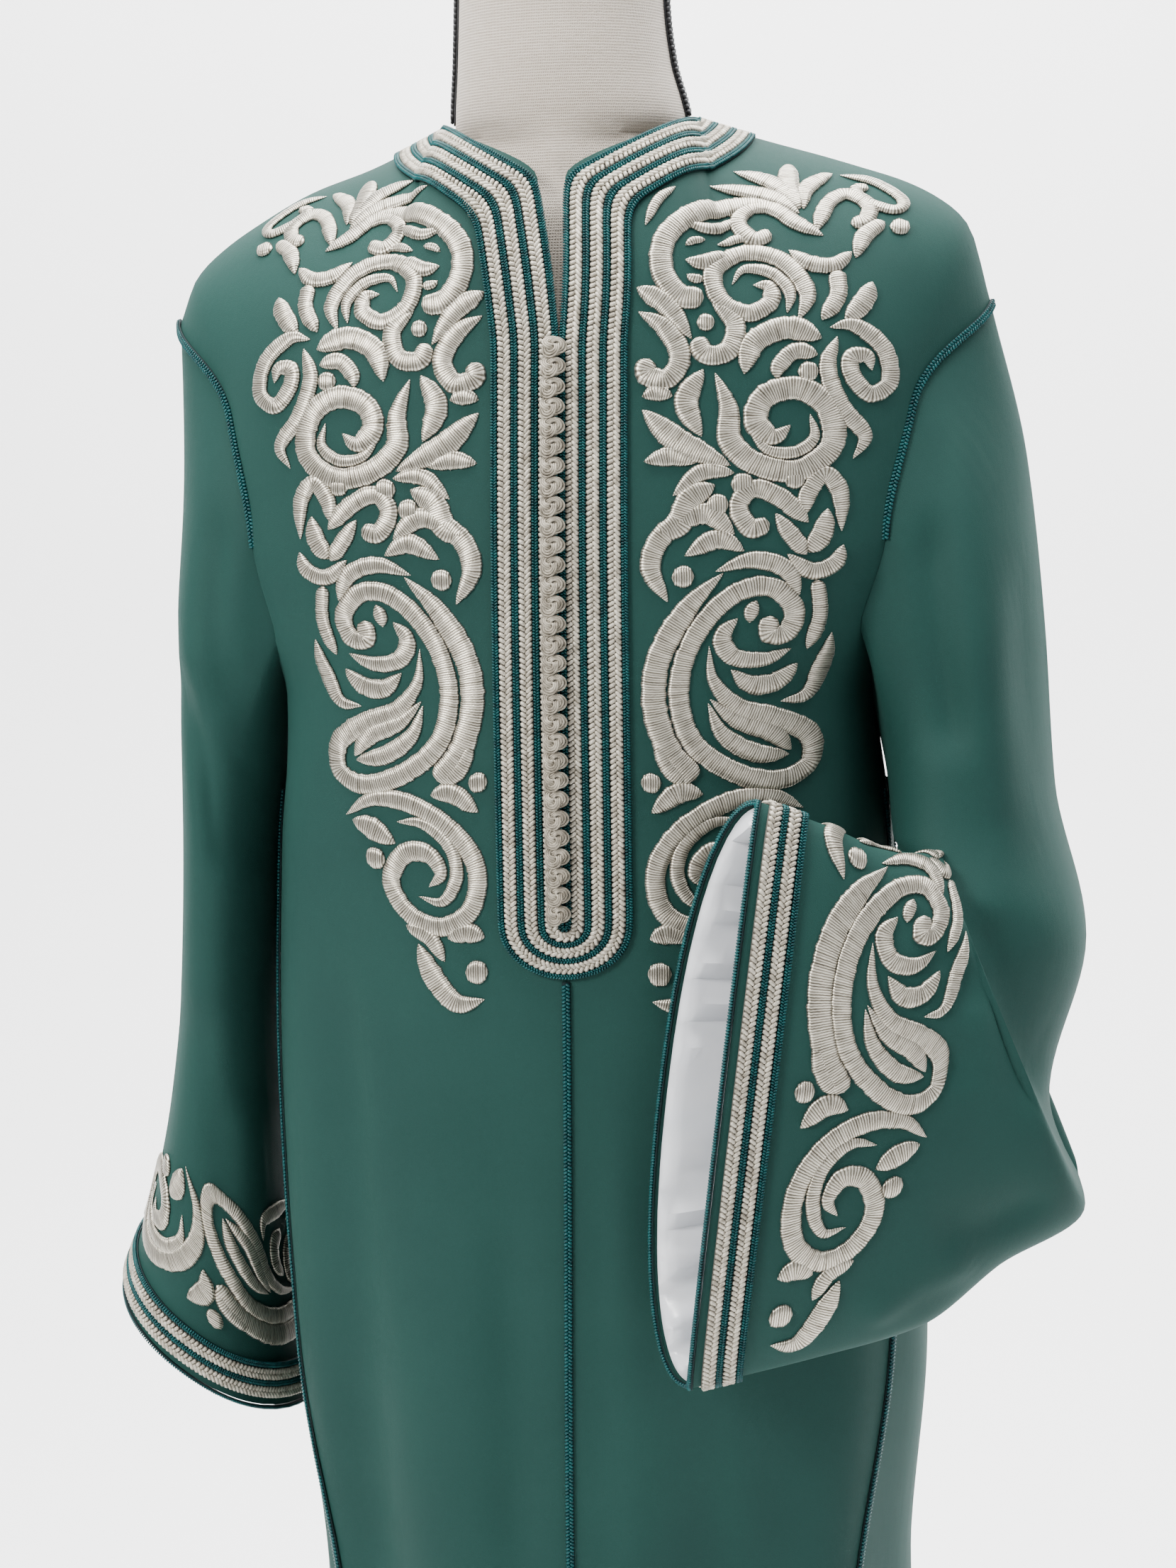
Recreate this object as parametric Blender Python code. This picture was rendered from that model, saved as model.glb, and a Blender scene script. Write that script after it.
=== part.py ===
"""A long embroidered kaftan on a dress form. Metres, +Z up, the front faces -Y, and the floor is z = 0.

Every panel of cloth is a thin wall on a grid of points. The grids share their points along each seam,
and each wall is then drawn back from the seam by half of the gap. Braids, cords and knots are laid on
the panels' own points.
"""

from collections import namedtuple

import bpy
import numpy as np
from mathutils import Vector
from mathutils.bvhtree import BVHTree

# Driving sizes
CLOTH = 0.0015
SEAM_GAP = 0.0003
LIFT = 0.0005
CHEST_Z = 1.280
BODY_SQUARENESS = 2.3
NECK_SIDE = (0.0700, -0.0040, 1.4385)
NECK_FRONT_Y = -0.0750
NECK_FRONT_Z = 1.4050
NECK_BACK_Y = 0.0620
NECK_BACK_Z = 1.4300
SHOULDER_TIP = (0.2310, 0.0000, 1.3350)
NECK_SHARE = 0.36
SLIT_END_Z = 1.3190
SLIT_HALF_GAP = 0.0075
PLACKET_FOOT_Z = 1.0080
PLACKET_ROUND = 0.79

# Trims: distance of each line from the edge of the neck and slit, and from the edge of the cuff
BRAID_WIDTH, BRAID_THICK = 0.0068, 0.0024
CORD_WIDTH, CORD_THICK = 0.0034, 0.0026
NECK_BRAIDS = {"neck_braid_inner": 0.0070, "neck_braid_middle": 0.0180, "neck_braid_outer": 0.0290}
NECK_CORDS = {"neck_cord_edge": 0.0019, "neck_cord_inner": 0.0125,
              "neck_cord_middle": 0.0235, "neck_cord_outer": 0.0345}
CUFF_BRAIDS = {"inner": 0.0190, "outer": 0.0080}
CUFF_CORDS = {"edge": 0.0022, "middle": 0.0135, "top": 0.0248}
SEAM_CORD_WIDTH, SEAM_CORD_THICK = 0.0050, 0.0022
KNOTS, KNOTS_ON_A_STRING, KNOT_PITCH, KNOT_TOP_Z = 30, 5, 0.01025, 1.3130
KNOT_WIDTH, KNOT_DEPTH, KNOT_LEAN, KNOT_LIFT = 0.0130, 0.0080, 0.0030, 0.0014

# The closed outline of the body at each height: half widths to the wearer's two sides, depth of front and
# back, and where the side seams lie, in degrees from the middle of the front and of the back
Section = namedtuple("Section", "z left right front back front_seam back_seam")
SECTIONS = [
    Section(1.280, 0.206, 0.206, 0.117, 0.100, 65, 62),
    Section(1.214, 0.203, 0.204, 0.126, 0.106, 57, 56),
    Section(1.165, 0.183, 0.184, 0.130, 0.106, 59, 58),
    Section(1.125, 0.168, 0.166, 0.132, 0.105, 82, 82),
    Section(1.040, 0.177, 0.175, 0.134, 0.108, 80, 80),
    Section(0.900, 0.182, 0.186, 0.136, 0.116, 73, 74),
    Section(0.750, 0.179, 0.193, 0.138, 0.124, 63, 66),
    Section(0.600, 0.165, 0.181, 0.142, 0.132, 54, 58),
    Section(0.300, 0.186, 0.202, 0.154, 0.148, 47, 52),
    Section(0.040, 0.214, 0.226, 0.166, 0.164, 44, 48),
]

# The line of the slit and centre seam, seen from the front
SLIT_LINE = [(1.405, -0.0025), (1.345, 0.0040), (1.319, 0.0050), (1.000, 0.0050), (0.650, 0.0010),
             (0.040, 0.0000)]

# The top of each shoulder, distance out and height, from the neck to the dropped shoulder seam. The left
# one hangs a little lower
SHOULDERS = {
    -1: [(0.070, 1.4385), (0.115, 1.4180), (0.150, 1.4060), (0.180, 1.3905), (0.205, 1.3745), (0.221, 1.3590),
         (0.231, 1.3350)],
    1: [(0.070, 1.4385), (0.110, 1.4260), (0.139, 1.4175), (0.161, 1.4105), (0.183, 1.4030), (0.204, 1.3920),
        (0.219, 1.3775), (0.231, 1.3350)],
}

# Long folds of the skirt, all uneven as cloth hangs: side of the body, degrees from the middle of the front,
# height where the fold starts, how far it stands out or in at the hem, its width in degrees, and how many
# degrees it wanders on its way down
Fold = namedtuple("Fold", "side middle top height width drift")
FOLDS = [
    Fold(-1, 58, 1.06, 0.0110, 7, -4),
    Fold(-1, 42, 0.98, -0.0140, 8, -6),
    Fold(-1, 22, 0.84, 0.0100, 8, 2),
    Fold(1, 14, 0.76, -0.0080, 8, 2),
    Fold(1, 33, 0.94, -0.0120, 8, 4),
    Fold(1, 48, 1.02, 0.0110, 8, 3),
    Fold(1, 66, 0.86, -0.0080, 8, 0),
    Fold(-1, 78, 0.82, -0.0085, 9, 2),
    Fold(1, 92, 0.80, 0.0080, 9, 2),
    Fold(-1, 100, 0.84, 0.0080, 9, 0),
    Fold(-1, 122, 0.98, -0.0110, 9, 3),
    Fold(1, 118, 1.00, -0.0110, 10, -2),
    Fold(-1, 143, 1.02, 0.0090, 9, 3),
    Fold(1, 140, 0.92, 0.0090, 9, -3),
    Fold(-1, 164, 0.88, -0.0090, 9, 1),
    Fold(1, 162, 0.96, -0.0075, 8, -2),
]

# Sleeves, from the armhole to the cuff. Each ring goes through an outer point and an inner point, and
# bellies out between them to the front and to the back. X is measured away from the body
Ring = namedtuple("Ring", "ox oy oz ix iy iz front_x front_y back_x back_y")
HANGING_SLEEVE = [
    Ring(0.2310, 0.000, 1.335, 0.1670, 0.000, 1.125, 0, -0.075, 0, 0.072),
    Ring(0.2310, 0.004, 1.255, 0.1720, 0.004, 1.092, 0, -0.081, 0, 0.080),
    Ring(0.2325, 0.008, 1.160, 0.1780, 0.008, 1.050, 0, -0.084, 0, 0.084),
    Ring(0.2350, 0.012, 1.064, 0.1820, 0.012, 0.995, 0, -0.084, 0, 0.086),
    Ring(0.2410, 0.018, 0.968, 0.1865, 0.018, 0.925, 0, -0.086, 0, 0.090),
    Ring(0.2530, 0.024, 0.888, 0.1880, 0.030, 0.840, 0, -0.090, 0, 0.098),
    Ring(0.2715, 0.030, 0.818, 0.1860, 0.040, 0.758, 0, -0.095, 0, 0.106),
    Ring(0.2910, 0.035, 0.771, 0.1820, 0.045, 0.686, 0, -0.102, 0, 0.116),
]
FOLDED_SLEEVE = [
    Ring(0.2310, 0.000, 1.335, 0.1660, 0.000, 1.125, 0, -0.075, 0, 0.072),
    Ring(0.2510, -0.002, 1.250, 0.1735, -0.004, 1.096, 0, -0.082, -0.015, 0.080),
    Ring(0.2610, -0.006, 1.155, 0.1795, -0.012, 1.068, 0, -0.084, -0.018, 0.080),
    Ring(0.2665, -0.012, 1.068, 0.1835, -0.030, 1.046, 0, -0.084, -0.017, 0.075),
    Ring(0.2835, -0.025, 0.985, 0.1900, -0.060, 1.036, 0, -0.076, -0.016, 0.064),
    Ring(0.2625, -0.055, 0.900, 0.2030, -0.085, 1.036, 0, -0.062, -0.010, 0.046),
    Ring(0.2815, -0.080, 0.846, 0.2070, -0.102, 1.035, 0, -0.052, 0, 0.036),
    Ring(0.2350, -0.108, 0.819, 0.1970, -0.122, 1.040, 0, -0.044, 0, 0.028),
    Ring(0.1930, -0.134, 0.792, 0.1760, -0.140, 1.051, 0, -0.036, -0.006, 0.020),
    Ring(0.1380, -0.158, 0.781, 0.1480, -0.157, 1.066, 0, -0.030, -0.020, 0.015),
    Ring(0.0740, -0.174, 0.768, 0.1140, -0.172, 1.081, 0, -0.027, -0.035, 0.012),
]
SLEEVE_SQUARENESS = 2.2
ARMHOLE_EASE = 0.11
LINING, LINING_GAP, LINING_EDGE = 0.0010, 0.0006, 0.0030

# The dress form: half width, depth to the front and back, squareness of the outline, and how far it stands
# to one side, at each height
FormRing = namedtuple("FormRing", "z half front back squareness shift", defaults=[2.0, 0.0])
FORM_RINGS = [
    FormRing(0.800, 0.148, 0.104, 0.106, 2.15), FormRing(0.830, 0.155, 0.110, 0.112, 2.15),
    FormRing(0.900, 0.152, 0.107, 0.108, 2.15), FormRing(0.980, 0.128, 0.096, 0.086, 2.15),
    FormRing(1.050, 0.121, 0.095, 0.080, 2.15), FormRing(1.130, 0.132, 0.106, 0.080, 2.15),
    FormRing(1.210, 0.146, 0.110, 0.084, 2.15), FormRing(1.270, 0.160, 0.104, 0.084, 2.10),
    FormRing(1.320, 0.178, 0.094, 0.078, 2.00), FormRing(1.350, 0.187, 0.082, 0.069, 1.85),
    FormRing(1.372, 0.180, 0.073, 0.062, 1.65), FormRing(1.390, 0.160, 0.066, 0.056, 1.50),
    FormRing(1.404, 0.136, 0.059, 0.048, 1.30), FormRing(1.420, 0.090, 0.057, 0.045, 1.40, -0.001),
    FormRing(1.430, 0.067, 0.055, 0.048, 1.60, -0.002), FormRing(1.438, 0.0625, 0.055, 0.050, 2.00, -0.003),
    FormRing(1.460, 0.0620, 0.056, 0.051, 2.00, -0.004), FormRing(1.500, 0.0580, 0.054, 0.050, 2.00, -0.005),
    FormRing(1.530, 0.0570, 0.053, 0.050, 2.00, -0.005),
]
CAP_HEIGHT = 0.014
POLE_RADIUS = 0.0125
BASE_RADIUS, BASE_HEIGHT = 0.165, 0.016
COLLAR_RADIUS, COLLAR_HEIGHT = 0.026, 0.040

# How finely the grids are cut
PATCH_ROWS = 7
ARMHOLE_HEIGHTS = [1.280, 1.245, 1.205, 1.165, 1.143, 1.125]
SKIRT_HEIGHTS = [1.125, 1.080, 1.020, 0.950, 0.870, 0.780, 0.680, 0.570, 0.450, 0.320, 0.180, 0.040]
FRONT_NECK_COLUMNS, BACK_NECK_COLUMNS, SHOULDER_COLUMNS, GORE_COLUMNS = 4, 3, 5, 4
SLEEVE_RINGS = 12
LINING_RINGS = 3
CORDED_ARMHOLE_ROWS = 2
SLIT_STEPS, NECK_STEPS, BACK_STEPS, FOOT_STEPS = 8, 5, 8, 8

COLOURS = {
    "crepe": ((0.045, 0.135, 0.110), 0.62, 0.0),
    "silver_braid": ((0.560, 0.520, 0.460), 0.45, 0.0),
    "teal_cord": ((0.006, 0.110, 0.115), 0.50, 0.0),
    "satin": ((0.780, 0.800, 0.830), 0.28, 0.0),
    "linen": ((0.560, 0.480, 0.390), 0.85, 0.0),
    "wood": ((0.300, 0.170, 0.080), 0.45, 0.0),
    "black_metal": ((0.020, 0.020, 0.022), 0.40, 0.9),
}


def clear_scene():
    for old in list(bpy.data.objects):
        bpy.data.objects.remove(old, do_unlink=True)


def material(name):
    found = bpy.data.materials.get(name)
    if found:
        return found
    colour, roughness, metallic = COLOURS[name]
    made = bpy.data.materials.new(name)
    made.use_nodes = True
    shader = made.node_tree.nodes["Principled BSDF"]
    shader.inputs["Base Color"].default_value = (*colour, 1)
    shader.inputs["Roughness"].default_value = roughness
    shader.inputs["Metallic"].default_value = metallic
    made.diffuse_color = (*colour, 1)
    return made


def add_object(name, points, faces, finish, smooth=True):
    mesh = bpy.data.meshes.new(name)
    mesh.from_pydata([tuple(point) for point in points], [], [tuple(face) for face in faces])
    mesh.materials.append(material(finish))
    if smooth:
        mesh.shade_smooth()
        mesh.set_sharp_from_angle(angle=np.radians(50))
    made = bpy.data.objects.new(name, mesh)
    bpy.context.scene.collection.objects.link(made)
    return made


def through(keys, values, at):
    """A smooth curve through the values that never swings past them. values may hold vectors."""
    keys = np.asarray(keys, float)
    values = np.asarray(values, float)
    at = np.asarray(at, float)
    if keys[0] > keys[-1]:
        keys, values = keys[::-1], values[::-1]
    flat = values.reshape(len(keys), -1)
    step = np.diff(keys)[:, None]
    slope = np.diff(flat, axis=0) / step
    tangent = np.zeros_like(flat)
    tangent[0], tangent[-1] = slope[0], slope[-1]
    before, after = slope[:-1], slope[1:]
    same = before * after > 0
    total = np.where(same, before + after, 1.0)
    tangent[1:-1] = np.where(same, 2 * before * after / total, 0.0)
    index = np.clip(np.searchsorted(keys, at.ravel(), side="right") - 1, 0, len(keys) - 2)
    width = step[index]
    t = np.clip((at.ravel()[:, None] - keys[index][:, None]) / width, 0, 1)
    out = ((2 * t**3 - 3 * t**2 + 1) * flat[index] + (t**3 - 2 * t**2 + t) * width * tangent[index]
           + (3 * t**2 - 2 * t**3) * flat[index + 1] + (t**3 - t**2) * width * tangent[index + 1])
    return out.reshape(at.shape + values.shape[1:])


def unit(vectors):
    vectors = np.asarray(vectors, float)
    length = np.linalg.norm(vectors, axis=-1, keepdims=True)
    return vectors / np.maximum(length, 1e-9)


def column_of(table, field):
    return [getattr(row, field) for row in table]


def body_value(field, z):
    return float(through(column_of(SECTIONS, "z"), column_of(SECTIONS, field), z))


def slit_x(z):
    keys, values = zip(*SLIT_LINE)
    return float(through(keys, values, z))


def slit_gap(z):
    share = np.clip((z - SLIT_END_Z) / (NECK_FRONT_Z - SLIT_END_Z), 0, 1)
    return SLIT_HALF_GAP * share**0.8


def body_point(side, angle, z):
    """A point of the body's outline at this height, angle in degrees from the middle of the front."""
    theta = np.radians(angle)
    power = 2 / BODY_SQUARENESS
    across = body_value("left" if side < 0 else "right", z)
    deep = body_value("front", z) if angle < 90 else body_value("back", z)
    x = side * across * abs(np.sin(theta)) ** power
    y = -deep * np.sign(np.cos(theta)) * abs(np.cos(theta)) ** power
    push = 0.0
    for fold in FOLDS:
        share = np.clip((fold.top - z) / fold.top, 0, 1)
        middle = fold.middle + fold.drift * share
        away = angle - middle if side == fold.side else angle + middle
        far_side = angle + middle - 360 if side != fold.side else away
        near = min(abs(away), abs(far_side))
        push += fold.height * share**0.75 * np.exp(-0.5 * (near / fold.width) ** 2)
    outward = unit([x / across**2, y / deep**2, 0.0])
    return np.array([x, y, z]) + outward * push


def front_point(side, u, z):
    """A point of a front panel below the chest line, u from 0 at the slit to 1 at the side."""
    point = body_point(side, u * body_value("front_seam", z), z)
    point[0] += slit_x(z) * (1 - u) ** 2 + side * slit_gap(z) * (1 - u) ** 4
    return point


def back_point(u, z):
    """A point of the back panel below the chest line, u from -1 to 1 across the back."""
    side = -1 if u < 0 else 1
    return body_point(side, 180 - abs(u) * body_value("back_seam", z), z)


def neckline(side, t, front):
    """The neck edge: t from 0 at the middle to 1 at the side of the neck."""
    turn = t * np.pi / 2
    deep = NECK_FRONT_Y if front else NECK_BACK_Y
    low = NECK_FRONT_Z if front else NECK_BACK_Z
    start = side * SLIT_HALF_GAP if front else 0.0
    x = start + (side * NECK_SIDE[0] - start) * np.sin(turn) ** 0.92
    y = NECK_SIDE[1] + (deep - NECK_SIDE[1]) * np.cos(turn)
    share = (x - start) / (side * NECK_SIDE[0] - start)
    z = low + (NECK_SIDE[2] - low) * share ** (1.0 if front else 2.0)
    x += slit_x(NECK_FRONT_Z) * (1 - t) ** 2 if front else 0.0
    return np.array([x, y, z])


def shoulder(side, t):
    """The shoulder line: t from 0 at the neck to 1 at the dropped shoulder seam."""
    x = NECK_SIDE[0] + (SHOULDER_TIP[0] - NECK_SIDE[0]) * t
    keys, heights = zip(*SHOULDERS[side])
    y = NECK_SIDE[1] + (SHOULDER_TIP[1] - NECK_SIDE[1]) * t
    return np.array([side * x, y, float(through(keys, heights, x))])


# Which way the cloth leaves the top edge, at places along it from the middle of the neck to the tip
LEAVING = [(0.00, (0.00, -0.38, -0.93)), (0.18, (0.22, -0.80, -0.58)), (0.36, (0.06, -1.00, -0.34)),
           (0.70, (0.00, -1.00, -0.34)), (1.00, (-0.12, -0.95, -0.55))]


def patch_point(side, u, v, front):
    """The yoke: v from 0 at the neck and shoulder to 1 at the chest line, one smooth curve a column."""
    if u < NECK_SHARE:
        top = neckline(side, u / NECK_SHARE, front)
    else:
        top = shoulder(side, (u - NECK_SHARE) / (1 - NECK_SHARE))

    def lower(z):
        return front_point(side, u, z) if front else back_point(side * max(u, 1e-6), z)

    chest = lower(CHEST_Z)
    step = 0.010
    falling = unit(lower(CHEST_Z - step) - chest)
    keys, ways = zip(*LEAVING)
    leaving = through(keys, ways, u) * (side, 1 if front else -1, 1)
    reach = np.linalg.norm(chest - top)
    leaving, falling = unit(leaving) * reach * 1.05, falling * reach * 1.05
    point = ((2 * v**3 - 3 * v**2 + 1) * top + (v**3 - 2 * v**2 + v) * leaving
             + (3 * v**2 - 2 * v**3) * chest + (v**3 - v**2) * falling)
    if front and u < NECK_SHARE:
        edge = slit_x(point[2]) + side * slit_gap(point[2])
        point[0] += (edge - point[0]) * (1 - u / NECK_SHARE) ** 4
    return point


def column_shares(neck_columns):
    """Columns from the middle to the side, with one of them at the side of the neck, closer at the tip."""
    out = 1 - (1 - np.linspace(0, 1, SHOULDER_COLUMNS + 1)[1:]) ** 1.25
    return np.concatenate([np.linspace(0, NECK_SHARE, neck_columns + 1), NECK_SHARE + (1 - NECK_SHARE) * out])


def front_grid(side, patch_rows, heights):
    shares = column_shares(FRONT_NECK_COLUMNS)
    patch = [[patch_point(side, u, v, True) for u in shares] for v in np.linspace(0, 1, patch_rows + 1)]
    lower = [[front_point(side, u, z) for u in shares] for z in heights[1:]]
    return np.array(patch + lower)


def back_grid(patch_rows, heights):
    half = column_shares(BACK_NECK_COLUMNS)
    shares = np.concatenate([-half[:0:-1], half])
    patch = [[patch_point(-1 if u < 0 else 1, abs(u), v, False) for u in shares]
             for v in np.linspace(0, 1, patch_rows + 1)]
    lower = [[back_point(u, z) for u in shares] for z in heights[1:]]
    return np.array(patch + lower)


def gore_grid(side, columns, heights):
    def angle(share, z):
        first, last = body_value("front_seam", z), 180 - body_value("back_seam", z)
        return first + (last - first) * share

    return np.array([[body_point(side, angle(share, z), z) for share in np.linspace(0, 1, columns + 1)]
                     for z in heights])


def lengths_along(points):
    steps = np.linalg.norm(np.diff(points, axis=0), axis=1)
    return np.concatenate([[0], np.cumsum(steps)])


def armhole_loop(front, gore, back_edge, rows):
    """The armhole: down the front from the shoulder tip, across the gore, and up the back."""
    return np.concatenate([front[:rows, -1], gore[0, 1:-1], back_edge[:rows][::-1][:-1]])


def sleeve_grid(table, side, loop, bottom, rings):
    """Rings of the sleeve from the armhole to the cuff. bottom holds the loop's numbers of the two gore corners."""
    count = len(loop)
    closed = np.vstack([loop, loop[:1]])
    run = lengths_along(closed)
    first, last = run[bottom[0]], run[bottom[1]]
    turn = np.interp(run, [0, first, last, run[-1]], [0, 0.9 * np.pi, 1.1 * np.pi, 2 * np.pi])[:count]
    values = np.array(table)
    middles = (values[:, 0:3] + values[:, 3:6]) / 2
    along = lengths_along(middles)
    at = through(np.linspace(0, 1, len(along)), along, np.linspace(0, 1, rings + 1))
    rows = through(along, values, at)
    power = 2 / SLEEVE_SQUARENESS
    cos = np.sign(np.cos(turn)) * abs(np.cos(turn)) ** power
    sin = np.sign(np.sin(turn)) * abs(np.sin(turn)) ** power
    grid = np.zeros((rings + 1, count, 3))
    for i, row in enumerate(rows):
        outer, inner = row[0:3], row[3:6]
        belly = np.where(sin[:, None] > 0, [[row[6], row[7], 0]], [[-row[8], -row[9], 0]])
        grid[i] = (outer + inner) / 2 + cos[:, None] * (outer - inner) / 2 + sin[:, None] * belly
    grid[:, :, 0] *= side
    ease = np.clip(1 - at / ARMHOLE_EASE, 0, 1) ** 1.5
    return grid + ease[:, None, None] * (loop - grid[0])[None]


def quads(rows, columns, closed=False, start=0):
    """Faces of a grid of points, counter-clockwise with rows going down and columns going right."""
    found = []
    for i in range(rows - 1):
        for j in range(columns if closed else columns - 1):
            k = (j + 1) % columns
            found.append((start + i * columns + j, start + (i + 1) * columns + j,
                          start + (i + 1) * columns + k, start + i * columns + k))
    return found


def halves(faces):
    """Each four-sided face as two triangles, always cut from its first corner."""
    return [face[:3] for face in faces] + [(face[0], face[2], face[3]) for face in faces]


class Cloth:
    """A panel's outer points, with normals that it shares with the panels sewn to it."""

    def __init__(self, name, grid, closed=False, flip=False):
        self.name, self.grid, self.closed = name, grid, closed
        rows, columns = grid.shape[:2]
        self.faces = [face[::-1] if flip else face for face in quads(rows, columns, closed)]
        self.flip = flip
        self.normals = None


def share_normals(body, sleeves):
    """Adds up the face normals at each place, so that sewn panels agree along their seam. Where a sleeve folds
    back on the body, as under the arm, each keeps its own."""
    layers = []
    for panels in (body, sleeves):
        sums = {}
        for panel in panels:
            points = panel.grid.reshape(-1, 3)
            for face in panel.faces:
                a, b, c, d = points[list(face)]
                normal = np.cross(c - a, d - b)
                for corner in face:
                    key = tuple(np.round(points[corner], 5))
                    sums[key] = sums.get(key, 0) + normal
        layers.append({key: unit(total) for key, total in sums.items()})
    for own, other, panels in ((layers[0], layers[1], body), (layers[1], layers[0], sleeves)):
        for panel in panels:
            found = []
            for point in panel.grid.reshape(-1, 3):
                key = tuple(np.round(point, 5))
                normal, across = own[key], other.get(key)
                if across is not None and np.dot(normal, across) > 0.2:
                    normal = unit(normal + across)
                found.append(normal)
            panel.normals = np.array(found).reshape(panel.grid.shape)


def drawn_back(points, gap):
    """Moves each edge of a grid into the grid by the gap."""
    moved = points.copy()
    moved[0] += unit(points[1] - points[0]) * gap
    moved[-1] += unit(points[-2] - points[-1]) * gap
    return moved


def wall(name, panel, finish, thick, depth=0.0):
    """A closed wall: outer points, inner points moved in along the normals, and the edges between."""
    rows, columns = panel.grid.shape[:2]
    outer = drawn_back(panel.grid - panel.normals * depth, SEAM_GAP / 2)
    inner = drawn_back(panel.grid - panel.normals * (depth + thick), SEAM_GAP / 2)
    if not panel.closed:
        for layer in (outer, inner):
            layer[:] = drawn_back(layer.transpose(1, 0, 2), SEAM_GAP / 2).transpose(1, 0, 2)
    count = rows * columns
    points = np.concatenate([outer.reshape(-1, 3), inner.reshape(-1, 3)])
    triangles = halves(panel.faces)
    faces = triangles + [tuple(corner + count for corner in face[::-1]) for face in triangles]
    sides = {}
    for face in panel.faces:
        for a, b in zip(face, face[1:] + face[:1]):
            sides[(a, b)] = sides.get((a, b), 0) + 1
    for a, b in sides:
        if (b, a) not in sides:
            faces.append((b, a, a + count, b + count))
    return add_object(name, points, faces, finish)


class Surface:
    """Finds the nearest place on the cloth's outer faces, with its normal."""

    def __init__(self, panels):
        self.points, self.normals, self.triangles = [], [], []
        start = 0
        for panel in panels:
            self.triangles += [tuple(start + corner for corner in face) for face in halves(panel.faces)]
            self.points += list(panel.grid.reshape(-1, 3))
            self.normals += list(panel.normals.reshape(-1, 3))
            start = len(self.points)
        self.tree = BVHTree.FromPolygons([Vector(point) for point in self.points], self.triangles)

    def blend(self, place, index):
        a, b, c = (self.points[corner] for corner in self.triangles[index])
        place = np.array(place)
        whole = np.linalg.norm(np.cross(b - a, c - a))
        weights = [np.linalg.norm(np.cross(c - b, place - b)), np.linalg.norm(np.cross(a - c, place - c)),
                   np.linalg.norm(np.cross(b - a, place - a))]
        mixed = sum(weight / whole * self.normals[corner]
                    for weight, corner in zip(weights, self.triangles[index]))
        return place, unit(mixed)

    def nearest(self, point):
        place, _, index, _ = self.tree.find_nearest(Vector(point))
        return self.blend(place, index)

    def from_front(self, x, z):
        place, _, index, _ = self.tree.ray_cast(Vector((x, -1.0, z)), Vector((0, 1, 0)))
        return self.blend(place, index)


def facing_out(points, faces):
    """The faces of a closed solid, all turned over if it encloses less than nothing."""
    points = np.array(points)
    triangles = np.array([(face[0], face[n], face[n + 1]) for face in faces for n in range(1, len(face) - 1)])
    a, b, c = (points[triangles[:, n]] for n in range(3))
    inside_out = np.einsum("ij,ij->i", a, np.cross(b, c)).sum() < 0
    return [face[::-1] for face in faces] if inside_out else faces


def seated(surface, left, right, closed):
    """How far each rib of a trim is lifted, so that no place between two ribs dips into the cloth."""
    count = len(left)
    lifts = np.full(count, LIFT)
    places = [(along, across) for along in np.linspace(0.02, 0.98, 7) for across in np.linspace(0, 1, 4)]
    for _ in range(8):
        raised = lifts.copy()
        for i in range(count if closed else count - 1):
            k = (i + 1) % count
            near_left, near_right, far_left, far_right = (
                side[n][0] + side[n][1] * lifts[n] for n in (i, k) for side in (left, right))
            for along, across in places:
                if across >= along:
                    point = near_left + across * (near_right - near_left) + along * (far_right - near_right)
                else:
                    point = near_left + along * (far_left - near_left) + across * (far_right - far_left)
                place, normal = surface.nearest(point)
                short = LIFT * 0.9 - np.dot(point - place, normal)
                if short > 0:
                    raised[i] = max(raised[i], lifts[i] + short)
                    raised[k] = max(raised[k], lifts[k] + short)
        lifts = raised
    return lifts


def strip(name, surface, left, right, width_share, thick, finish, closed):
    """A trim between two lines of (point, normal) on the cloth, narrower on top, open or a loop."""
    count = len(left)
    corners = []
    for (a, normal_a), (b, normal_b), lift in zip(left, right, seated(surface, left, right, closed)):
        inset = (b - a) * (1 - width_share) / 2
        corners += [a + normal_a * lift, b + normal_b * lift,
                    b - inset + normal_b * (lift + thick), a + inset + normal_a * (lift + thick)]
    faces = []
    for i in range(count if closed else count - 1):
        k = (i + 1) % count
        for j in range(4):
            m = (j + 1) % 4
            faces.append((4 * i + j, 4 * i + m, 4 * k + m, 4 * k + j))
    if not closed:
        faces += [(3, 2, 1, 0), tuple(4 * (count - 1) + j for j in range(4))]
    return add_object(name, corners, facing_out(corners, halves(faces)), finish)


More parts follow.
